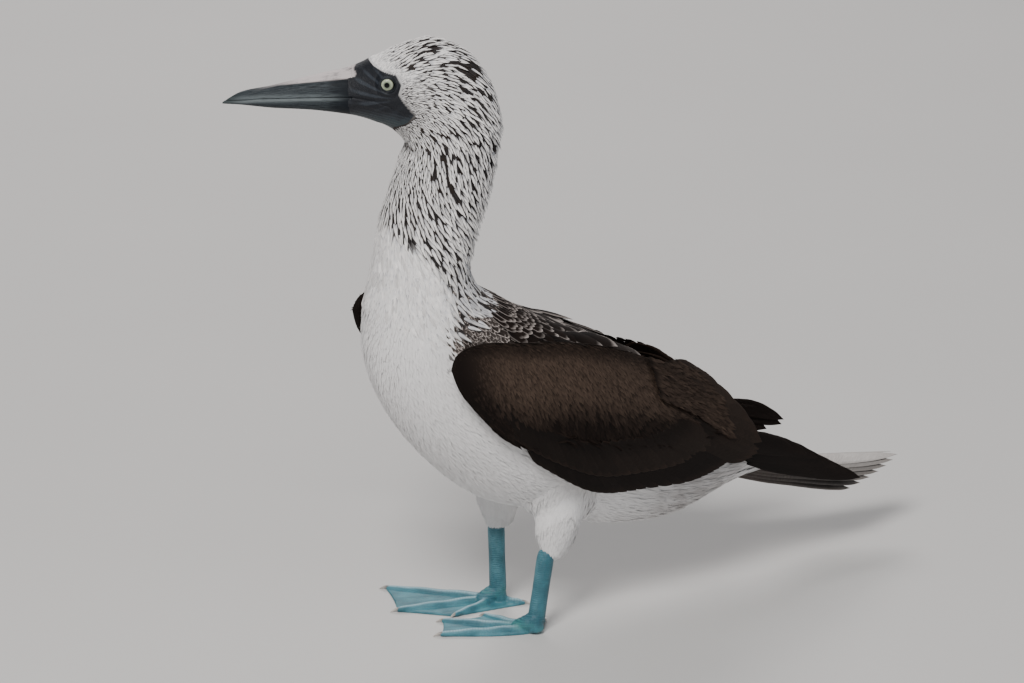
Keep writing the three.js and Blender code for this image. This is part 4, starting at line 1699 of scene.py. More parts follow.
@dataclass(frozen=True)
class BareLeg:
    """Tarsus, toes and webs as one skin, ringed and creased."""

    bench: Bench
    leg: Leg
    voxel: float = 0.62
    web: float = 1.7

    def build(self, finish: Material) -> Piece:
        """Fuses the plain forms, smooths them and works in creases."""
        leg = self.leg
        forms = [self._shaft(), self._boss(), self._instep(), self._web()]
        forms += [self._toe(name) for name in leg.toes]
        points, faces = [], []
        for corners, quads in forms:
            start = sum(len(some) for some in points)
            points.append(corners)
            faces += [tuple(start + corner for corner in face) for face in quads]
        made = self.bench.piece(f"leg_skin_{leg.side.label}", np.vstack(points), faces, finish)
        self._fused(made)
        self._creased(made)
        return made

    def _from_ankle(self, points: Array) -> Array:
        """Moves points from the ankle's own place to the bird's."""
        return points + np.array([*self.leg.ankle, 0.0])

    def _shaft(self) -> tuple[Array, list]:
        """Gives the tarsus."""
        leg = self.leg
        start = (leg.ankle[0] + 2.5, leg.ankle[1], 4)
        rings = limb_rings(
            start, (*leg.top, leg.height + 6), lambda t: 6.85 - 0.65 * np.sin(np.pi * t), 0.95, 40, 32
        )
        return self._outward(rings)

    def _boss(self) -> tuple[Array, list]:
        """Gives the ankle's knuckle."""
        rings = limb_rings((3, 0, 1.0), (1, 0, 15), lambda t: 7.2 - 0.9 * t, 0.9, 20, 28)
        return self._outward(self._from_ankle(rings))

    def _instep(self) -> tuple[Array, list]:
        """Gives the swelling between the ankle and the toes."""
        x, y = unit(self.leg.under_toe("middle")) * 15
        rings = limb_rings((1, 0, 9), (x, y, 3.4), lambda t: 6.3 - 2.9 * t, 1.12, 20, 28)
        return self._outward(self._from_ankle(rings))

    def _toe(self, name: str) -> tuple[Array, list]:
        """Gives one toe with its knuckles."""
        x, y = self.leg.under_toe(name, 4.2)
        thick = TOE_RADIUS[name]

        def radius(share: Array) -> Array:
            """Gives the toe's radius, swollen at the joints."""
            return thick * (1.05 - 0.38 * share + 0.08 * np.cos(share * 6 * np.pi))

        rings = limb_rings((2, 0, 3.3), (x, y, 2.1), radius, 1.05, 40, 18)
        return self._outward(self._from_ankle(rings))

    def _outward(self, rings: Array) -> tuple[Array, list]:
        """Closes rings with their faces outwards."""
        points, faces = tube(rings)
        inner = points.mean(axis=0)
        a, b, c = (points[faces[len(faces) // 3][k]] for k in range(3))
        if np.dot(np.cross(b - a, c - a), a - inner) < 0:
            faces = [face[::-1] for face in faces]
        return points, faces

    def _web(self) -> tuple[Array, list]:
        """Gives the web between the toes, hollowed a little at its front edge."""
        leg = self.leg
        order = ["outer", "middle", "inner", "hind"]
        tips = [leg.under_toe(name, 5.5) for name in order]
        edge = [np.array([9.0, 0.0])]
        edge += quad_bow(edge[0], np.array([-6, leg.side.value * 8]), tips[0], 14)
        for last, after in zip(tips, tips[1:]):
            edge += quad_bow(last, (last + after) * 0.482, after, 14)
        outline = np.array(edge)
        share = np.linspace(0, 1, 22)[1:, None, None]
        plan = outline[None] * share
        low = np.concatenate([plan, np.full((*plan.shape[:2], 1), 0.0)], axis=-1)
        swell = self.web * (1 + 0.7 * (1 - share[..., 0]))
        high = np.concatenate([plan, (swell * np.ones(plan.shape[:2]))[..., None]], axis=-1)
        count = len(outline)
        rows = len(share)
        points = np.vstack([low.reshape(-1, 3), high.reshape(-1, 3), [[0, 0, 0]], [[0, 0, self.web * 1.7]]])
        faces = [face[::-1] for face in grid_faces(rows, count, True)]
        faces += grid_faces(rows, count, True, rows * count)
        base = 2 * rows * count
        outer = (rows - 1) * count
        for place in range(count):
            after = (place + 1) % count
            faces.append((base, after, place))
            faces.append((base + 1, rows * count + place, rows * count + after))
            over = outer + rows * count
            faces.append((outer + place, outer + after, over + after, over + place))
        if leg.side is Side.LEFT:
            faces = [face[::-1] for face in faces]
        return self._from_ankle(points), faces

    def _fused(self, made: Piece) -> None:
        """Fuses the forms into one closed skin and evens it."""
        remesh = made.modifiers.new("fuse", "REMESH")
        remesh.mode = "VOXEL"
        remesh.voxel_size = self.voxel / 1000
        smooth = made.modifiers.new("even", "SMOOTH")
        smooth.factor = 0.5
        smooth.iterations = 3
        settled(made)
        made.data.shade_smooth()

    def _creased(self, made: Piece) -> None:
        """Rings the tarsus, scutes the toes, pleats the web and marks the colours: painted shade in the
        creases, painted highlights on ridges and toe tops, and the ankle's tint.
        """
        leg = self.leg
        points = self.bench.local(corners_of(made))
        normals = np.empty(len(points) * 3)
        made.data.vertices.foreach_get("normal", normals)
        normals = normals.reshape(-1, 3)
        flat = points[:, :2] - np.array(leg.ankle)
        z = points[:, 2]
        high = eased(z, 7, 12)
        round_leg = np.arctan2(flat[:, 1], flat[:, 0])
        phase = z * 2.35 + 0.9 * np.sin(round_leg * 2 + z * 0.21) + 0.5 * np.sin(z * 0.9)
        bands = np.abs(np.sin(phase)) ** 0.7
        wrinkle = np.sin(z * 1.7 + 1.3 * np.sin(round_leg))
        ankle_folds = np.abs(wrinkle) * np.exp(-(((z - 11) / 5.5) ** 2))
        push = high * 0.28 * (bands - 0.7) + 0.55 * (ankle_folds - 0.5) * np.exp(-(((z - 11) / 5.0) ** 2))
        # Painted shade in the grooves between the tarsus rings and in the ankle's wrinkles.
        crease = high * (1 - bands) * 0.8 + (1 - np.abs(wrinkle)) * np.exp(-(((z - 11) / 4.5) ** 2))
        # Painted highlight on the rings' sides that face forward and inward.
        ridge = high * bands * 0.55 * eased(-normals[:, 0] - 0.4 * normals[:, 1] * leg.side.value, -0.3, 0.8)
        low = 1 - eased(z, 6, 10)
        for name in leg.toes:
            tip = leg.under_toe(name)
            long = float(np.hypot(*tip))
            way = tip / long
            along = flat @ way
            aside = flat @ np.array([-way[1], way[0]])
            near = np.exp(-((aside / 2.6) ** 2)) * eased(along, 2, 9) * (1 - eased(along, long - 6, long))
            scute = np.abs(np.sin(along * 1.55)) ** 0.6
            push += low * near * 0.22 * (scute - 0.75) * eased(normals[:, 2], 0.1, 0.6)
            crease += low * near * (1 - scute) * 0.55 * eased(normals[:, 2], 0.1, 0.6)
            # Painted highlight along the tops of the toes.
            ridge += low * np.exp(-((aside / 1.9) ** 2)) * eased(along, 4, 14) * eased(z, 1.9, 4.2)
        bearing = np.arctan2(flat[:, 1], -flat[:, 0])
        spread = np.hypot(flat[:, 0], flat[:, 1])
        pleat = np.sin(bearing * 34 + 1.8 * np.sin(spread * 0.11)) * eased(spread, 14, 40)
        top = low * eased(normals[:, 2], 0.5, 0.95) * (1 - eased(z, 2.2, 3.6))
        push += top * 0.16 * pleat
        crease += top * eased(-pleat, 0.35, 1.0) * 0.4
        # Painted highlight on the web's pleat crests and on the sides that don't face up.
        ridge += top * eased(pleat, 0.4, 1.0) * 0.25
        ridge += low * (1 - eased(normals[:, 2], 0.1, 0.6)) * 0.25
        moved = points + normals * (push * eased(z, 0.4, 1.2))[:, None]
        moved[:, 2] = np.maximum(moved[:, 2], 0.02)
        made.data.vertices.foreach_set("co", self.bench.placed(moved).astype(np.float32).ravel())
        made.data.update()
        store(made, "crease", np.clip(crease, 0, 1))
        store(made, "ridge", np.clip(ridge, 0, 1))
        store(made, "ankle", np.exp(-(((z - 9) / 6) ** 2)) * (1 - eased(spread, 10, 30)))


def quad_bow(start: Array, control: Array, end: Array, count: int) -> list[Array]:
    """Gives points of a quadratic curve after its start."""
    share = np.linspace(0, 1, count + 1)[1:, None]
    bow = start * (1 - share) ** 2 + control * 2 * share * (1 - share) + end * share**2
    return list(bow)


@dataclass(frozen=True)
class Claw:
    """One claw, curved down to the floor."""

    bench: Bench
    leg: Leg
    toe: str
    length: float = 6.4
    radius: float = 1.75

    def build(self, finish: Material) -> Piece:
        """Sweeps a tapering ring along a bent line."""
        share = np.linspace(0, 1, 22)
        root = self.leg.under_toe(self.toe, self.length + 1.0)
        tip = self.leg.under_toe(self.toe, 0.2)
        flat = root + (tip - root) * share[:, None]
        rise = 2.1 + 0.8 * np.sin(np.pi * share * 0.75) - 2.3 * share**1.6
        size = self.radius * (1.0 - 0.86 * share**1.3)
        rise = np.maximum(rise, size * 0.62 + 0.15)
        way = unit(np.array([*(tip - root), 0.0]))
        aside = np.array([-way[1], way[0], 0.0])
        turn = np.linspace(0, 2 * np.pi, 16, endpoint=False)[None, :, None]
        middle = np.column_stack([flat + np.array(self.leg.ankle), rise])[:, None, :]
        ring = aside * np.cos(turn) * 0.8 + np.array([0, 0, 1.0]) * np.sin(turn) * 0.95
        rings = middle + ring * size[:, None, None]
        rings[..., 2] = np.maximum(rings[..., 2], 0.05)
        points, faces = tube(rings)
        made = self.bench.piece(f"claw_horn_{self.leg.side.label}_{self.toe}", points, faces, finish)
        facing_out(made)
        along = np.repeat(share, 16)
        store(made, "along", np.concatenate([along, [0.0, 1.0]]))
        return made


# Large vanes of wings and tail
@dataclass(frozen=True)
class VaneForm:
    """One flight, tail or covert feather: its lie on the sheet and its own shape."""

    root: tuple[float, float]
    heading: float
    length: float
    width: float
    height: float
    pointed: float
    lead: float = 0.42
    tip_height: float = 0.0


class VaneSet:
    """Closed, cambered vanes laid on a curved sheet and joined in one piece."""

    def __init__(self, name: str, rows: int = 26, columns: int = 8, thickness: float = 0.3) -> None:
        """Starts an empty set.

        Args:
            name: the piece's name.
            rows: corners along a vane.
            columns: faces across it.
            thickness: at the shaft, in millimetres.
        """
        self.name = name
        self.rows = rows
        self.columns = columns
        self.thickness = thickness
        self.points: list[Array] = []
        self.faces: list[tuple] = []
        self.numbers: dict[str, list[Array]] = {k: [] for k in ("along", "across", "tone", "mark", "border")}
        self.unwrap: list[Array] = []
        self.count = 0

    def add(
        self,
        vane: VaneForm,
        sheet: Callable[[Array, Array, Array], Array],
        mark: float,
        border: float,
        tone: float,
    ) -> None:
        """Lays one vane.

        Args:
            vane: its form.
            sheet: gives points over a place on the sheet, at a height.
            mark: how light it is.
            border: how pale its edge is.
            tone: its own shade.
        """
        u = 1 - (1 - np.linspace(0, 1, self.rows)[:, None]) ** 1.5
        v = np.linspace(-1, 1, self.columns + 1)[None, :]
        swell = 0.35 + 0.65 * np.sin(np.pi / 2 * np.minimum(u / 0.35, 1))
        start = blended(0.72, 0.45, vane.pointed)
        late = np.clip((u - start) / (1 - start), 0, 1)
        half = vane.width / 2 * swell * np.maximum(1 - late ** blended(2.6, 1.5, vane.pointed), 0.0) ** 0.6
        shaft = (0.5 - vane.lead) * 2
        wide = np.where(v < 0, half * (1 - shaft), half * (1 + shaft))
        notch = 0.012 * np.sin(u * 47 + tone * 9) * np.abs(v) ** 3
        y = v * wide * (1 + notch)
        x = u * vane.length - 0.04 * vane.length * v * v * eased(u, 0.3, 1.0) * (1 - late * 0.4)
        camber = 0.10 * vane.width * (1 - v * v) * np.sin(np.pi * np.clip(u * 0.9 + 0.1, 0, 1))
        quill = 0.28 * np.exp(-((v / 0.13) ** 2)) * (1 - 0.8 * u)
        thick = self.thickness * (1 - 0.75 * np.abs(v) ** 1.5) * (1 - 0.5 * u)
        lift = vane.height + vane.tip_height * u * u
        angle = math.radians(vane.heading)
        along = vane.root[0] + x * math.cos(angle) - y * math.sin(angle)
        rise = vane.root[1] + x * math.sin(angle) + y * math.cos(angle)
        top = sheet(along, rise, lift + camber + quill)
        low = sheet(along, rise, lift + camber - thick)
        rows, columns = self.rows, self.columns + 1
        base = self.count
        points = np.vstack([top.reshape(-1, 3), low.reshape(-1, 3)])
        upper = grid_faces(rows, columns, False, base)
        lower = [face[::-1] for face in grid_faces(rows, columns, False, base + rows * columns)]
        rim = [row * columns for row in range(rows)]
        rim += [(rows - 1) * columns + column for column in range(1, columns)]
        rim += [row * columns + columns - 1 for row in range(rows - 2, -1, -1)]
        rim += [column for column in range(columns - 2, 0, -1)]
        drop = rows * columns
        wall = [
            (base + a, base + a + drop, base + b + drop, base + b) for a, b in zip(rim, rim[1:] + rim[:1])
        ]
        a, b, c = (points[upper[len(upper) // 2][k] - base] for k in range(3))
        outward = top[rows // 2, columns // 2] - low[rows // 2, columns // 2]
        faces = upper + lower + [face[::-1] for face in wall]
        if np.dot(np.cross(b - a, c - a), outward) < 0:
            faces = [face[::-1] for face in faces]
        self.faces += faces
        self.points.append(points)
        self.count += len(points)
        values = {"along": u + 0 * v, "across": v + 0 * u, "tone": tone, "mark": mark, "border": border}
        for name, value in values.items():
            self.numbers[name].append(np.tile((value * np.ones((rows, columns))).ravel(), 2))
        spot = np.column_stack(
            [
                0.5 + vane.root[0] / 700 + (v + 0 * u).ravel() * BAKE_PATCH,
                0.5 + vane.root[1] / 700 + (u + 0 * v).ravel() * BAKE_PATCH * 2,
            ]
        )
        self.unwrap.append(np.vstack([spot, spot]))

    def build(self, bench: Bench, finish: Material) -> Piece:
        """Joins the vanes in one piece with their attributes and bake map."""
        made = bench.piece(self.name, np.vstack(self.points), self.faces, finish)
        for name, rows in self.numbers.items():
            store(made, name, np.concatenate(rows))
        spots = np.vstack(self.unwrap)
        loops = np.empty(len(made.data.loops), dtype=np.int32)
        made.data.loops.foreach_get("vertex_index", loops)
        layer = made.data.uv_layers.new(name="OFBake")
        layer.data.foreach_set("uv", spots[loops].astype(np.float32).ravel())
        log.info("%s: %d faces", self.name, len(self.faces))
        return made


@dataclass(frozen=True)
class VaneTier:
    """A row of vanes whose tips follow a curve: pairs are the values of the first and the last."""

    count: int
    tips: tuple
    heading: tuple[float, float]
    length: tuple[float, float]
    width: tuple[float, float]
    height: tuple[float, float]
    pointed: float
    mark: tuple[float, float] = (0.0, 0.0)
    border: float = 0.1

    def vanes(self) -> list[tuple[VaneForm, float]]:
        """Gives the vanes of the tier with their marks."""
        curve = Curve(np.array(self.tips, float))
        made = []
        for place in range(self.count):
            share = place / max(self.count - 1, 1)
            tip = curve.at(np.array(share))
            heading = blended(*self.heading, share)
            length = blended(*self.length, share)
            angle = math.radians(heading)
            root = (tip[0] - length * math.cos(angle), tip[1] - length * math.sin(angle))
            width = blended(*self.width, share)
            height = blended(*self.height, share)
            form = VaneForm(root, heading, length, width, height, self.pointed)
            made.append((form, float(blended(*self.mark, share))))
        return made


PRIMARIES = {
    Side.LEFT: VaneTier(
        7, ((282, 57.5), (266, 67), (250, 76.5), (235, 85.5), (218, 93)),
        (-19.5, -21), (122, 84), (14, 15), (-3, 0.2), 0.45,
    ),
    Side.RIGHT: VaneTier(
        5, ((290, 55), (289, 51), (276, 49), (262, 48), (246, 52)),
        (-22, -20), (130, 92), (14, 16), (-2, 0.2), 0.3,
    ),
}
SECONDARIES = VaneTier(
    24, ((-18, 137), (4, 122), (26, 109), (44, 104), (70, 102), (108, 99), (129, 101), (147, 105)),
    (-60, -24), (46, 80), (15, 16), (-1.6, 0.6), 0.2, border=0.3,
)
TERTIALS = VaneTier(
    9, ((164, 101), (176, 103), (183, 109), (177, 123), (158, 143)),
    (-27, -36), (88, 60), (16, 17), (0.6, 2.4), 0.3, mark=(0.1, 0.35), border=0.5,
)
GREATER_COVERTS = VaneTier(
    26, ((-50, 170), (-28, 152), (2, 134), (32, 121), (66, 117), (100, 116), (132, 121)),
    (-64, -34), (36, 46), (13, 14), (1.0, 1.9), 0.15, mark=(0.0, 0.15), border=0.5,
)
ARM_LOWER = (
    (-94, 222), (-88, 205), (-69, 180), (-36, 145), (2, 121), (42, 107), (82, 104), (116, 107), (142, 120),
)


@dataclass
class WingPad:
    """The padded arm of a folded wing, which its small coverts grow on."""

    form: WingForm
    swell: float = 3.0
    inward: float = 6.5
    raised_edge: float = 0.36
    upper: Curve = field(init=False)
    lower: Curve = field(init=False)

    def __post_init__(self) -> None:
        """Draws the pad's upper and lower edge."""
        self.upper = Curve(WING_TOP)
        self.lower = Curve(ARM_LOWER)

    def side_view(
        self, share: Array, angle: Array, margin: Array | float = 0.0
    ) -> tuple[Array, Array, Array]:
        """Gives places in the wing's side view, with their distance out of its sheet.

        Args:
            share: places from the bend backwards.
            angle: 0 at the upper edge, a quarter turn on the outer face.
            margin: growth outwards.

        Returns:
            Places along and up the side view, and distances outwards.
        """
        high, low = self.upper.at(share), self.lower.at(share)
        x = (high[..., 0] + low[..., 0]) / 2
        top = high[..., 1] - 1.5
        bottom = low[..., 1] + self.raised_edge * (top - low[..., 1]) * eased(x, -70, 10)
        half = np.maximum((top - bottom) / 2, 0.3) + margin
        fade = np.sqrt(np.maximum(0, 1 - (2 * share - 1) ** 4))
        side = np.sin(angle)
        out = side * (fade * np.where(side > 0, self.swell, self.inward) + margin)
        return x + 0 * angle, (top + bottom) / 2 + half * np.cos(angle), out

    def straight(self, share: Array, angle: Array, margin: Array | float = 0.0) -> Array:
        """Gives points of the pad."""
        return self.form.wrapped(*self.side_view(share, angle, margin))

    def frame(self, share: Array, angle: Array, margin: Array | float = 0.0) -> tuple[Array, Array]:
        """Gives points of the pad with their outward directions."""
        here = self.straight(share, angle, margin)
        along = self.straight(share + 1e-3, angle, margin) - self.straight(share - 1e-3, angle, margin)
        around = self.straight(share, angle + 0.01, margin) - self.straight(share, angle - 0.01, margin)
        out = unit(np.cross(along, around))
        middle = (self.straight(share, angle * 0) + self.straight(share, angle * 0 + np.pi)) / 2
        flip = np.sum(out * (here - middle), axis=-1, keepdims=True) < 0
        return here, np.where(flip, -out, out)


@dataclass
class Wing:
    """One folded wing: a dark pad, small coverts over it and tiers of long vanes."""

    bench: Bench
    side: Side
    form: WingForm = field(init=False)
    pad: WingPad = field(init=False)

    def __post_init__(self) -> None:
        """Sets the wing's sheet and pad."""
        self.form = WingForm(self.side)
        self.pad = WingPad(self.form)

    def build(self, coat: FeatherCoat, vane_finish: Material, covert_finish: Material) -> list:
        """Makes the wing's pieces.

        Args:
            coat: grows the small coverts.
            vane_finish: the long feathers' finish.
            covert_finish: the small feathers' finish.

        Returns:
            The pieces.
        """
        return [self._arm(covert_finish), self._vanes(vane_finish), self._coverts(coat, covert_finish)]

    def _arm(self, finish: Material) -> Piece:
        """Makes the dark body of the wing, just under its small coverts."""
        share = np.linspace(0.004, 0.996, 90)[:, None]
        angle = np.linspace(0, 2 * np.pi, 60, endpoint=False)[None, :]
        points, faces = tube(self.pad.straight(share, angle, -0.6))
        arm = self.bench.piece(f"wing_arm_{self.side.label}", points, faces, finish)
        facing_out(arm)
        x = self.pad.side_view(share, angle)[0]
        brown = self._brownness(x, 0.5 + 0.5 * np.cos(angle + 0 * share)) * 0.55
        store(arm, "mark", np.append(brown.ravel(), [brown[0].mean(), brown[-1].mean()])[: len(points)])
        for name, value in (("along", 0.45), ("across", 0.0), ("tone", 0.4), ("border", 0.0)):
            store(arm, name, np.full(len(points), value))
        return arm

    @staticmethod
    def _brownness(x: Array, across: Array) -> Array:
        """Gives how brown the small coverts are, from the dark lower edge to the paler middle."""
        return eased(across, 0.16, 0.62) * (1 - 0.7 * eased(across, 0.84, 0.97)) * eased(x, -92, -50)

    def _vanes(self, finish: Material) -> Piece:
        """Lays the flight feathers and greater coverts."""
        rng = np.random.default_rng(SEED + self.side.value)
        vanes = VaneSet(f"flight_feathers_{self.side.label}")
        for tier in (PRIMARIES[self.side], SECONDARIES, TERTIALS, GREATER_COVERTS):
            for form, mark in tier.vanes():
                vanes.add(form, self.form.wrapped, mark, tier.border, float(rng.random()))
        return vanes.build(self.bench, finish)

    def _coverts(self, coat: FeatherCoat, finish: Material) -> Piece:
        """Covers the pad with small soft feathers in staggered rows."""
        rng = np.random.default_rng(SEED * 3 + self.side.value)

        def length(_: Array, angle: Array) -> Array:
            """Gives covert lengths, longest at the lower edge."""
            return 9.5 - 3.0 * np.cos(angle)

        tract = Tract(0.0, 1.0, length, lambda here, angle: 0.24 * length(here, angle), 0.3, 0.6)
        share, angle = tract.roots_at(self.pad, rng)
        outer = np.sin(angle) > -0.45
        share, angle = np.clip(share[outer], 0.004, 0.996), angle[outer]
        place, out = self.pad.frame(share, angle, -0.9)
        x, z, lift = self.pad.side_view(share, angle)
        across = 0.5 + 0.5 * np.cos(angle)
        count = len(x)
        heading = np.radians(blended(-66, -36, eased(x, 10, 135)) + 22 * eased(across, 0.86, 1.0))
        lower = self.pad.lower.at(share), self.pad.lower.at(share + 0.01)
        edge = np.arctan2(lower[1][:, 1] - lower[0][:, 1], lower[1][:, 0] - lower[0][:, 0]) + 0.1
        near_edge = (1 - eased(across, 0.05, 0.3)) * (1 - eased(x, -30, 0))
        heading = blended(heading, np.maximum(heading, edge), near_edge) + rng.normal(0, 0.08, count)
        step_x, step_z = 0.5 * np.cos(heading), 0.5 * np.sin(heading)
        ahead = self.form.wrapped(x + step_x, z + step_z, lift)
        lie = ahead - self.form.wrapped(x - step_x, z - step_z, lift)
        lie = unit(lie - out * np.sum(lie * out, axis=-1, keepdims=True))
        small = 1 - 0.6 * (1 - eased(x, -96, -50))
        band = self._brownness(x, across)
        roots = Roots(
            place=place,
            out=out,
            lie=lie,
            length=(length(x, angle) + rng.normal(0, 0.8, count)) * small,
            width=(0.24 * length(x, angle) + rng.normal(0, 0.12, count)) * small,
            lift=np.radians(rng.uniform(2.5, 7, count)) * (1 - 0.6 * near_edge) * eased(x, -108, -70),
            bend=np.full(count, -0.04),
            mark=np.clip(0.85 * band + rng.normal(0, 0.07, count), 0, 1),
            border=np.clip(rng.normal(0.10, 0.08, count), 0, 1),
            unwrap=np.column_stack([(angle / (2 * np.pi)) % 1.0, share]),
        )
        roots = roots.joined(self._over_tertials(rng))
        return coat.grown(f"wing_coverts_{self.side.label}", roots, finish, SEED + 7)

    def _over_tertials(self, rng: np.random.Generator) -> Roots:
        """Lays soft brown coverts over the roots of the innermost long feathers.

        Args:
            rng: the source of unevenness.

        Returns:
            The roots.
        """
        x, down = np.meshgrid(np.arange(80, 148, 2.2), np.arange(-9, 26, 1.7), indexing="ij")
        x, down = x.ravel() + rng.uniform(-1, 1, x.size), down.ravel() + rng.uniform(-0.8, 0.8, x.size)
        z = above_line(WING_TOP, x) - down
        inside = down > -9 * eased(x, 88, 122) * (1 - eased(x, 132, 150))
        x, z, down = x[inside], z[inside], down[inside]
        count = len(x)
        heading = np.radians(-38) + rng.normal(0, 0.1, count)
        place, out, lie = self.form.frame(x, z, 2.9 + 3.0 * (1 - eased(x, 92, 126)), heading)
        return Roots(
            place=place,
            out=out,
            lie=lie,
            length=12 + rng.normal(0, 1, count),
            width=2.9 + rng.normal(0, 0.2, count),
            lift=np.radians(rng.uniform(5, 10, count)),
            bend=np.full(count, -0.05),
            mark=np.clip(rng.normal(0.45, 0.12, count), 0, 1),
            border=np.full(count, 0.1),
            unwrap=np.column_stack([0.5 + x / 400, 0.1 + z / 400]),
        )


class BackSheet:
    """The upper side of the body as a plan, in millimetres along and across."""

    def __init__(self) -> None:
        """Ties places along x to shares of the loft."""
        self.share = np.linspace(0.452, 0.004, 400)
        self.x = BODY.upper.at(self.share)[:, 0]

    def laid(self, x: Array, across: Array, over: Array) -> Array:
        """Gives points over a place of the plan.

        Args:
            x: place along the back.
            across: distance from the ridge, measured round the body.
            over: height over the solids' own surface.

        Returns:
            The points.
        """
        share = np.interp(x, self.x, self.share)
        return BODY.straight(share, across / 57, over)


@dataclass(frozen=True)
class Scapulars:
    """Rounded shoulder feathers with pale edges, in rows that grow backwards."""

    bench: Bench
    first_x: float = -30.0
    last_x: float = 108.0
    reach: float = 60.0

    def build(self, finish: Material) -> Piece:
        """Lays the rows, like tiles, from the neck's root to the rump."""
        rng = np.random.default_rng(SEED + 61)
        vanes = VaneSet("scapulars", rows=12, columns=8, thickness=0.35)
        sheet = BackSheet()
        x = self.first_x
        row = 0
        while x < self.last_x:
            grown = float(eased(x, self.first_x, 26))
            length = blended(8.5, 29.0, grown)
            width = blended(5.5, 24.0, grown)
            across = width * (0.1 if row % 2 else 0.42)
            while across < self.reach:
                for side in (-1, 1):
                    puffed = 5.5 * float(eased(x, -25, 45) * (1 - eased(x, 85, 125)) * eased(across, 4, 22))
                    form = VaneForm(
                        (x + rng.uniform(-2.4, 2.4), side * (across + rng.uniform(-1, 1))),
                        side * blended(2, 9, across / self.reach) + rng.uniform(-4, 4),
                        length * rng.uniform(0.93, 1.07),
                        width * rng.uniform(0.94, 1.04),
                        -1.6 + puffed,
                        0.0,
                        0.5,
                        blended(1.8, 3.4, grown),
                    )
                    border = blended(0.55, 1.0, grown) * blended(1.0, 0.3, float(eased(x, 34, 60)))
                    border = border * rng.uniform(0.35, 1.0)
                    vanes.add(form, sheet.laid, 0.15 * float(eased(x, 40, 80)), border, float(rng.random()))
                across += width * 0.7
            x += length * 0.44
            row += 1
        return vanes.build(self.bench, finish)


@dataclass(frozen=True)
class Tail:
    """Long tail feathers in pairs, the middle ones palest, over the tail's own coverts."""

    bench: Bench
    root_x: float = 195
    root_z: float = 81
    hidden_root: float = 20
    pairs: int = 7
    centre: float = 136
    outer: float = 82
    spread: float = 6
    widths: tuple[float, float] = (15, 14)
    drop_per_length: float = 0.145
    drop_per_pair: float = 1.9
    drop_at_root: float = 0.6
    roof: float = 0.6

    def _sheet(self, x: Array, y: Array, over: Array) -> Array:
        """Gives points of the roofed tail over a place in its plan."""
        ridge = self.root_z - self.drop_per_length * (x - self.root_x)
        return np.stack(np.broadcast_arrays(x, y, ridge - self.roof * np.hypot(y, 6) + over), axis=-1)

    def build(self, finish: Material) -> Piece:
        """Lays the tail feathers."""
        rng = np.random.default_rng(SEED + 5)
        vanes = VaneSet("tail_feathers", columns=10)
        for pair in range(self.pairs - 1, -1, -1):
            share = pair / (self.pairs - 1)
            for side in (-1, 1):
                hidden = self.hidden_root * share
                length = blended(self.centre, self.outer, share**1.2) + hidden
                heading = side * blended(1, self.spread, share)
                height = 3 - pair * self.drop_at_root - (0.5 if side > 0 else 0)
                sagging = -pair * (self.drop_per_pair - self.drop_at_root)
                root = (self.root_x - hidden, side * blended(2, 9, share))
                width = blended(*self.widths, share)
                form = VaneForm(root, heading, length, width, height, 0.6, 0.5, sagging)
                mark = blended(0.85, 0.06, share**0.4)
                vanes.add(form, self._sheet, mark, 0.3, float(rng.random()))
        return vanes.build(self.bench, finish)


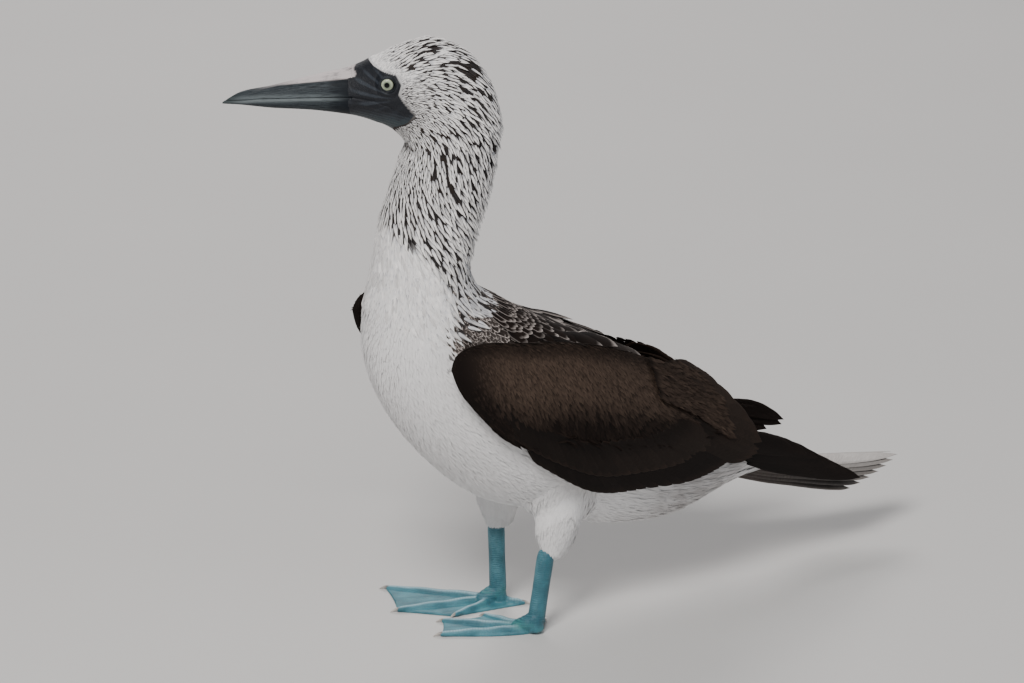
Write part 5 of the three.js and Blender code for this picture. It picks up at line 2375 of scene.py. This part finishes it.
@dataclass
class BodyCoat:
    """All small feathers of head, neck, breast, back, belly and thighs."""

    bench: Bench
    coat: FeatherCoat
    skin: Piece

    def _on_skin(self, roots: Roots, sunk: float) -> Roots:
        """Moves roots near the thighs onto the skin as it was joined and smoothed there.

        Args:
            roots: roots laid on the plain forms.
            sunk: how deep they sit in the skin.

        Returns:
            The roots, without those that are far from the skin.
        """
        faces = [face.vertices for face in self.skin.data.polygons]
        tree = BVHTree.FromPolygons(self.bench.local(corners_of(self.skin)), faces)
        near = (roots.place[:, 2] < 150) & (np.abs(roots.place[:, 0]) < 75)
        kept = np.ones(len(near), bool)
        for spot in np.flatnonzero(near):
            out = roots.out[spot]
            hit, normal, _, _ = tree.ray_cast(Vector(roots.place[spot] + out * 9), Vector(-out), 18)
            kept[spot] = hit is not None
            if hit is not None:
                facing = unit(np.array(normal) + 0.5 * out)
                roots.place[spot] = np.array(hit) - facing * sunk
                roots.out[spot] = facing
                roots.lie[spot] = unit(roots.lie[spot] - facing * np.dot(roots.lie[spot], facing))
        return roots.kept(kept)

    def _plume_length(self, straight: Array, _: Array) -> Array:
        """Gives plume lengths, shortest by the bill."""
        behind = PLUMAGE.behind_mask(straight)
        near = blended(2.7, 9.8, eased(behind, -2, 46))
        return near + 3.4 * (1 - eased(straight[..., 2], 300, 372))

    def _plume_width(self, straight: Array, angle: Array) -> Array:
        """Gives plume widths."""
        return 0.35 + 0.24 * self._plume_length(straight, angle)

    def _roots(
        self, tract: Tract, rng: np.random.Generator, flow: float, sunk: float = 0.3
    ) -> tuple[Roots, Array, Array]:
        """Lays a tract's roots on the skin.

        Args:
            tract: the tract.
            rng: the source of unevenness.
            flow: degrees that the feathers swing towards the back on the sides.
            sunk: how deep the roots sit in the skin.

        Returns:
            The roots, their places on the straight body and their angles.
        """
        share, angle = tract.roots_at(BODY, rng)
        straight = BODY.straight(share, angle)
        depth = coat_depth(straight, angle)
        place, out, back = BODY.frame(share, angle, -depth - sunk)
        swing = np.radians(flow) * np.abs(np.sin(angle)) * -np.sign(np.sin(angle))
        swing = swing + rng.normal(0, math.radians(6), len(share))
        aside = np.cross(out, back)
        lie = back * np.cos(swing)[:, None] + aside * np.sin(swing)[:, None]
        count = len(share)
        along = (share - tract.first) / (tract.last - tract.first)
        roots = Roots(
            place=place,
            out=out,
            lie=lie,
            length=tract.length(straight, angle) * (1 + rng.normal(0, 0.08, count)),
            width=tract.width(straight, angle) * (1 + rng.normal(0, 0.07, count)),
            lift=np.radians(rng.uniform(5, 11, count)),
            bend=np.full(count, -0.05),
            mark=np.ones(count),
            border=np.zeros(count),
            unwrap=np.column_stack([(angle / (2 * np.pi)) % 1.0, along]),
        )
        return roots, straight, angle

    def _plumes(self, rng: np.random.Generator, row_gap: float, side_gap: float) -> tuple[Roots, Array]:
        """Lays white or dark plumes over head and neck, standing off the nape.

        Args:
            rng: the source of unevenness.
            row_gap: how far apart rows are, as a share of a plume's length.
            side_gap: how far apart plumes are, as a share of a plume's width.

        Returns:
            The roots and their heights on the straight body.
        """
        tract = Tract(0.385, BILL_SHARE, self._plume_length, self._plume_width, row_gap, side_gap)
        roots, straight, angle = self._roots(tract, rng, 24)
        behind_mask = PLUMAGE.behind_mask(straight)
        behind_white = PLUMAGE.behind_white(straight)
        height = straight[:, 2]
        count = len(height)
        streak = eased(behind_white, -6, 14)
        crown_white = PLUMAGE.nearness_to_face(straight) * eased(height, 405, 425)
        roots.mark = 1 - 0.12 * streak + rng.normal(0, 0.05, count) + 0.25 * crown_white
        roots.mark -= 0.42 * (1 - eased(height, 258, 296)) * eased(behind_white, -2, 14)
        roots.width = roots.width * blended(1.45, 1.0, streak * (1 - crown_white))
        nape = (0.5 + 0.5 * np.cos(angle)) * eased(height, 285, 325) * (1 - eased(height, 375, 410))
        stand = blended(rng.uniform(6, 13, count), rng.uniform(17, 32, count), nape)
        roots.lift = np.radians(blended(stand, 5.0, np.maximum(crown_white, 1 - streak)))
        wanted = (behind_mask > 0.5) & (behind_white > -26 - rng.uniform(0, 14, count))
        wanted &= rng.random(count) < eased(height + 10 + 10 * np.cos(angle), 236, 276)
        roots.mark = np.clip(roots.mark, 0, 1)
        roots.border = streak * (1 - 0.8 * crown_white)
        return roots.kept(wanted), height[wanted]

    def head_and_neck(self, finish: Material) -> list[Piece]:
        """Grows the pointed plumes, white over dark down, finest by the bill."""
        rng = np.random.default_rng(SEED)
        over, over_height = self._plumes(rng, 0.46, 0.98)
        under, under_height = self._plumes(rng, 0.5, 0.9)
        under.mark = np.clip(1 - 1.3 * under.border, 0.04, 1)
        under.lift = under.lift * 0.45
        under.length = under.length * 0.9
        roots = over.joined(under)
        height = np.concatenate([over_height, under_height])
        head = height > 350
        return [
            self.coat.grown("head_plumes", roots.kept(head), finish, SEED + 1),
            self.coat.grown("neck_plumes", roots.kept(~head), finish, SEED + 2),
        ]

    def breast(self, finish: Material) -> list[Piece]:
        """Grows the smooth white coat of breast, belly and flanks."""
        rng = np.random.default_rng(SEED + 11)

        def length(straight: Array, _: Array) -> Array:
            """Gives tuft lengths, longest under the tail."""
            return 10.5 + 5 * eased(straight[..., 0], 20, 110) + 11 * eased(straight[..., 0], 120, 190)

        def width(straight: Array, _: Array) -> Array:
            """Gives tuft widths."""
            return 2.5 + 1.8 * eased(straight[..., 0], 20, 150)

        tract = Tract(0.015, 0.60, length, width, 0.32, 0.6, 0.35)
        roots, straight, _ = self._roots(tract, rng, 10, 0.2)
        behind = PLUMAGE.behind_white(straight)
        x, z = straight[:, 0], straight[:, 2]
        top = above_line(WING_TOP, x)
        low = above_line(ARM_LOWER, x)
        covered = (z < top - 14) & (z > low + 18) & (x > -70) & (x < 130)
        wanted = (behind < 2 + rng.uniform(-7, 6, len(x))) & ~covered
        roots, straight, x, z = roots.kept(wanted), straight[wanted], x[wanted], z[wanted]
        count = len(x)
        roots.lift = np.radians(rng.uniform(6, 8.5, count))
        roots.bend = np.full(count, -0.03)
        # Painted shade: the vent's sides under the folded wing are greyed unevenly towards the dark colour.
        under_wing_shade = eased(x, 45, 110) * (1 - eased(x, 135, 180)) * eased(np.abs(straight[:, 1]), 6, 24)
        cloud = 0.5 + 0.5 * np.sin(x * 0.23 + z * 0.31) * np.sin(x * 0.11 - z * 0.17 + 1)
        roots.mark = np.clip(1 - under_wing_shade * blended(0.3, 0.62, cloud) + rng.normal(0, 0.025, count), 0, 1)
        free = np.ones(count, bool)
        for leg in LEGS.values():
            free &= ~leg.holds(roots.place, 3.0)
        roots = self._on_skin(roots.kept(free), 0.3)
        x = roots.place[:, 0]
        pieces = {
            "breast_feathers": x < -70,
            "belly_feathers": (x >= -70) & (x < 20),
            "vent_feathers": x >= 20,
        }
        return [self.coat.grown(name, roots.kept(part), finish, SEED + 12) for name, part in pieces.items()]

    def back(self, finish: Material) -> Piece:
        """Grows mantle, rump and upper tail coverts, brown with pale edges."""
        rng = np.random.default_rng(SEED + 21)

        def length(straight: Array, _: Array) -> Array:
            """Gives feather lengths, growing backwards from the neck."""
            return 7.0 + 12 * eased(straight[..., 0], -66, 40)

        def width(straight: Array, _: Array) -> Array:
            """Gives feather widths."""
            return 2.7 + 7.5 * eased(straight[..., 0], -66, 40)

        tract = Tract(0.012, 0.47, length, width, 0.42, 0.72)
        roots, straight, angle = self._roots(tract, rng, 4, 0.5)
        behind = PLUMAGE.behind_white(straight)
        x, z = straight[:, 0], straight[:, 2]
        wanted = (behind > rng.uniform(-5, 3, len(x))) & (np.abs(angle) < 1.8)
        wanted &= z < 274 + rng.normal(0, 8, len(x))
        roots, straight, x, z = roots.kept(wanted), straight[wanted], x[wanted], z[wanted]
        count = len(x)
        early = 1 - eased(x, -62, -20)
        strip = np.exp(-((straight[:, 1] / 17) ** 2)) * eased(z, 228, 250)
        roots.lift = np.radians(rng.uniform(8, 13, count))
        roots.bend = np.full(count, -0.08)
        mark = 0.03 + 0.12 * early * rng.random(count) + 0.8 * strip
        roots.mark = np.clip(mark + 0.25 * eased(x, 110, 190), 0, 1)
        roots.border = np.clip(0.85 - 0.5 * eased(x, 55, 100) + rng.normal(0, 0.22, count), 0, 1)
        return self.coat.grown("mantle_and_rump", roots, finish, SEED + 22)

    def thighs(self, finish: Material) -> list[Piece]:
        """Grows the soft white feathers of both thighs."""
        made = []
        rows, around = 84, 100
        for side, leg in LEGS.items():
            rng = np.random.default_rng(SEED + 31 + side.value)
            rings = leg.thigh_rings(THIGH_UNDER_COAT, rows, around)
            wider = leg.thigh_rings(THIGH_UNDER_COAT + 1, rows, around)
            picks, places = np.meshgrid(np.arange(4, rows - 2), np.arange(around), indexing="ij")
            picks, places = picks.ravel(), places.ravel()
            place = rings[picks, places]
            out = unit(wider[picks, places] - place)
            down = unit(rings[picks + 1, places] - place)
            lie = unit(down - out * np.sum(down * out, axis=-1, keepdims=True))
            above = place[:, 2] - (leg.height + 1)
            keep = ~self._inside_body(place) & (above > 0) & (rng.random(len(place)) < 0.75)
            rows_kept = (row[keep] for row in (place, out, lie, picks, places, above))
            place, out, lie, picks, places, above = rows_kept
            count = len(place)
            length = np.minimum(9.0 + rng.normal(0, 0.9, count), above * 0.9 + 4.0)
            roots = Roots(
                place=place - out * 0.15,
                out=out,
                lie=unit(lie + np.cross(out, lie) * rng.normal(0, 0.10, (count, 1))),
                length=length,
                width=rng.uniform(2.4, 3.2, count),
                lift=np.radians(rng.uniform(3, 6, count)),
                bend=np.full(count, -0.06),
                mark=np.clip(0.96 - 0.10 * rng.random(count) * eased(place[:, 0], -15, 20), 0, 1),
                border=np.zeros(count),
                unwrap=np.column_stack([places / around, picks / rows]),
            )
            roots = self._on_skin(roots, 0.25)
            made.append(self.coat.grown(f"thigh_feathers_{side.label}", roots, finish, SEED + 33))
        return made

    def _inside_body(self, points: Array) -> Array:
        """Tells which points lie well inside the body loft."""
        shares = np.linspace(0.02, 0.45, 220)
        upper, under = BODY.upper.at(shares), BODY.under.at(shares)
        flat = points[:, [0, 2]]
        inside = np.zeros(len(points), bool)
        for start in range(0, len(shares) - 1):
            a, b = under[start, [0, 2]], upper[start, [0, 2]]
            c = under[start + 1, [0, 2]]
            way = b - a
            step = c - a
            cross = way[0] * step[1] - way[1] * step[0]
            if abs(cross) < 1e-9:
                continue
            offset = flat - a
            s = (offset[:, 0] * step[1] - offset[:, 1] * step[0]) / cross
            t = (way[0] * offset[:, 1] - way[1] * offset[:, 0]) / cross
            lift = 2 * s - 1
            half = upper[start, 1] - 11
            room = half * np.sqrt(np.clip(1 - lift**2, 0, 1))
            inside |= (t >= 0) & (t < 1) & (s > 0.12) & (s < 1) & (np.abs(points[:, 1]) < room)
        return inside


@dataclass(frozen=True)
class Studio:
    """Camera, floor and soft light."""

    azimuth: float = math.radians(-32)
    elevation: float = math.radians(19)
    distance: float = 3400.0
    scale: float = 0.72
    lens: float = 166.0
    picture_centre: tuple = (512, 341.5)  # in pixels
    bird_origin: tuple = (520.5, 615)  # where the origin falls in the photograph

    def _back(self) -> Array:
        """Gives the direction from the bird to the camera."""
        level = math.cos(self.elevation)
        x, y = math.sin(self.azimuth) * level, -math.cos(self.azimuth) * level
        return np.array([x, y, math.sin(self.elevation)])

    def camera(self, bench: Bench) -> None:
        """Makes the camera at the photograph's angle."""
        back = self._back()
        right = np.array([math.cos(self.azimuth), math.sin(self.azimuth), 0.0])
        up = np.cross(back, right)
        (middle_x, middle_y), (origin_x, origin_y) = self.picture_centre, self.bird_origin
        target = right * (middle_x - origin_x) * self.scale + up * (origin_y - middle_y) * self.scale
        place = bench.placed(target + back * self.distance)
        lens = bpy.data.cameras.new("camera")
        lens.lens = self.lens
        lens.sensor_width = 36.0
        lens.clip_end = 50
        camera = bpy.data.objects.new("camera", lens)
        camera.location = place
        camera.rotation_euler = (math.pi / 2 - self.elevation, 0, self.azimuth)
        bpy.context.scene.collection.objects.link(camera)
        bpy.context.scene.camera = camera

    def floor(self) -> Piece:
        """Makes a plain pale floor."""
        size = 6.0
        mesh = bpy.data.meshes.new("floor")
        corners = [(-size, -size, 0), (size, -size, 0), (size, size, 0), (-size, size, 0)]
        mesh.from_pydata(corners, [], [(0, 1, 2, 3)])
        floor = bpy.data.objects.new("floor", mesh)
        bpy.context.scene.collection.objects.link(floor)
        f = Finish("pale_floor")
        cloud = f.noise(3, 3)
        colour = f.mixed(cloud, (0.60, 0.59, 0.58), (0.64, 0.63, 0.62))
        mesh.materials.append(f.done(Base_Color=colour, Roughness=0.9))
        return floor

    def lights(self) -> None:
        """Makes one large key, a cool fill, a back light and a pale sky."""
        for name, place, power, size, colour in (
            ("key", (-1.9, -1.6, 2.8), 120, 1.1, (1.0, 0.97, 0.94)),
            ("fill", (1.6, -2.4, 0.9), 12, 2.2, (0.90, 0.95, 1.0)),
            ("rim", (0.9, 2.2, 2.3), 50, 1.2, (1.0, 0.96, 0.94)),
        ):
            lamp = bpy.data.lights.new(name, "AREA")
            lamp.energy = power
            lamp.size = size
            lamp.color = colour
            made = bpy.data.objects.new(name, lamp)
            made.location = place
            aim = np.array([0.0, 0.0, 0.22]) - np.array(place)
            flat = math.hypot(aim[0], aim[1])
            made.rotation_euler = (math.atan2(flat, -aim[2]), 0, math.atan2(-aim[0], aim[1]))
            bpy.context.scene.collection.objects.link(made)
        world = bpy.data.worlds.new("studio")
        world.use_nodes = True
        background = world.node_tree.nodes["Background"]
        background.inputs["Color"].default_value = (0.86, 0.90, 0.95, 1)
        background.inputs["Strength"].default_value = 0.22
        bpy.context.scene.world = world


def carried_by(piece: Piece, slot: str, *nodes: str) -> None:
    """Sets what a piece rides on and hides the solids that it replaces."""
    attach(piece, "root")
    if nodes:
        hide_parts(*nodes)
    log.info("placed %s", piece.name)


def main() -> None:
    """Builds the bird around its frame."""
    logging.basicConfig(level=logging.INFO, format="%(name)s: %(message)s")
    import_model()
    bench = Bench()
    studio = Studio()
    studio.camera(bench)
    studio.floor()
    studio.lights()

    skin = Skin(bench).build()
    carried_by(skin, "white_feather", *Skin.nodes)
    skin_finish = skin.data.materials[0]
    eye_finish = EyeFinish().build()
    for side in Side:
        carried_by(Lids(bench, side).build(skin_finish), "bare_face")
        carried_by(Eye(bench, side).build(eye_finish), "eye", f"eye_{side.label}")
    for piece, node in zip(Bill(bench).build(BillFinish().build()), ("bill_upper", "bill_lower")):
        carried_by(piece, "bill_horn", node)

    blue = BlueSkinFinish().build()
    horn = ClawFinish().build()
    for side, leg in LEGS.items():
        carried_by(BareLeg(bench, leg).build(blue), "blue_skin", f"tarsus_{side.label}", f"foot_{side.label}")
        for toe in leg.toes:
            carried_by(Claw(bench, leg, toe).build(horn), "claw", f"claw_{side.label}_{toe}")

    plumes = feather_coat(bench, "plume", 0.16, (1.0, 0.9, 0.95), (0.2, 0.22, 0.18))
    tufts = feather_coat(bench, "tuft", 0.3, (0.8, 0.9, 1.0), (0.08, 0.08, 0.08), rows=3)
    coverts = feather_coat(bench, "covert", 0.25, (0.75, 0.85, 0.9), (0.07, 0.07, 0.07), rows=4)
    lining = {"rows": 6, "columns": 4, "thickness": 0.03, "lined": True}
    rounded = feather_coat(bench, "round", 0.06, (0.12, 0.2, 0.1), (0.10, 0.12, 0.11), "even", **lining)
    plume_finish = PLUME_FINISH.build()
    white_finish = WHITE_FINISH.build()
    brown_finish = BROWN_FINISH.build()
    back_finish = BACK_FINISH.build()
    vane_finish = VANE_FINISH.build()
    tail_finish = TAIL_FINISH.build()

    body = BodyCoat(bench, plumes, skin)
    for piece in body.head_and_neck(plume_finish):
        carried_by(piece, "streaked_feather")
    body.coat = tufts
    for piece in body.breast(white_finish) + body.thighs(white_finish):
        carried_by(piece, "white_feather")
    body.coat = rounded
    carried_by(body.back(back_finish), "brown_feather")
    carried_by(Scapulars(bench).build(back_finish), "brown_feather")
    for side in Side:
        for piece in Wing(bench, side).build(coverts, vane_finish, brown_finish):
            nodes = (f"wing_{side.label}",) if piece.name.startswith("flight") else ()
            carried_by(piece, "brown_feather", *nodes)
    carried_by(Tail(bench).build(tail_finish), "tail_feather", "tail")
    for coat in (plumes, tufts, coverts, rounded):
        coat.cleared()


if __name__ == "__main__":
    main()
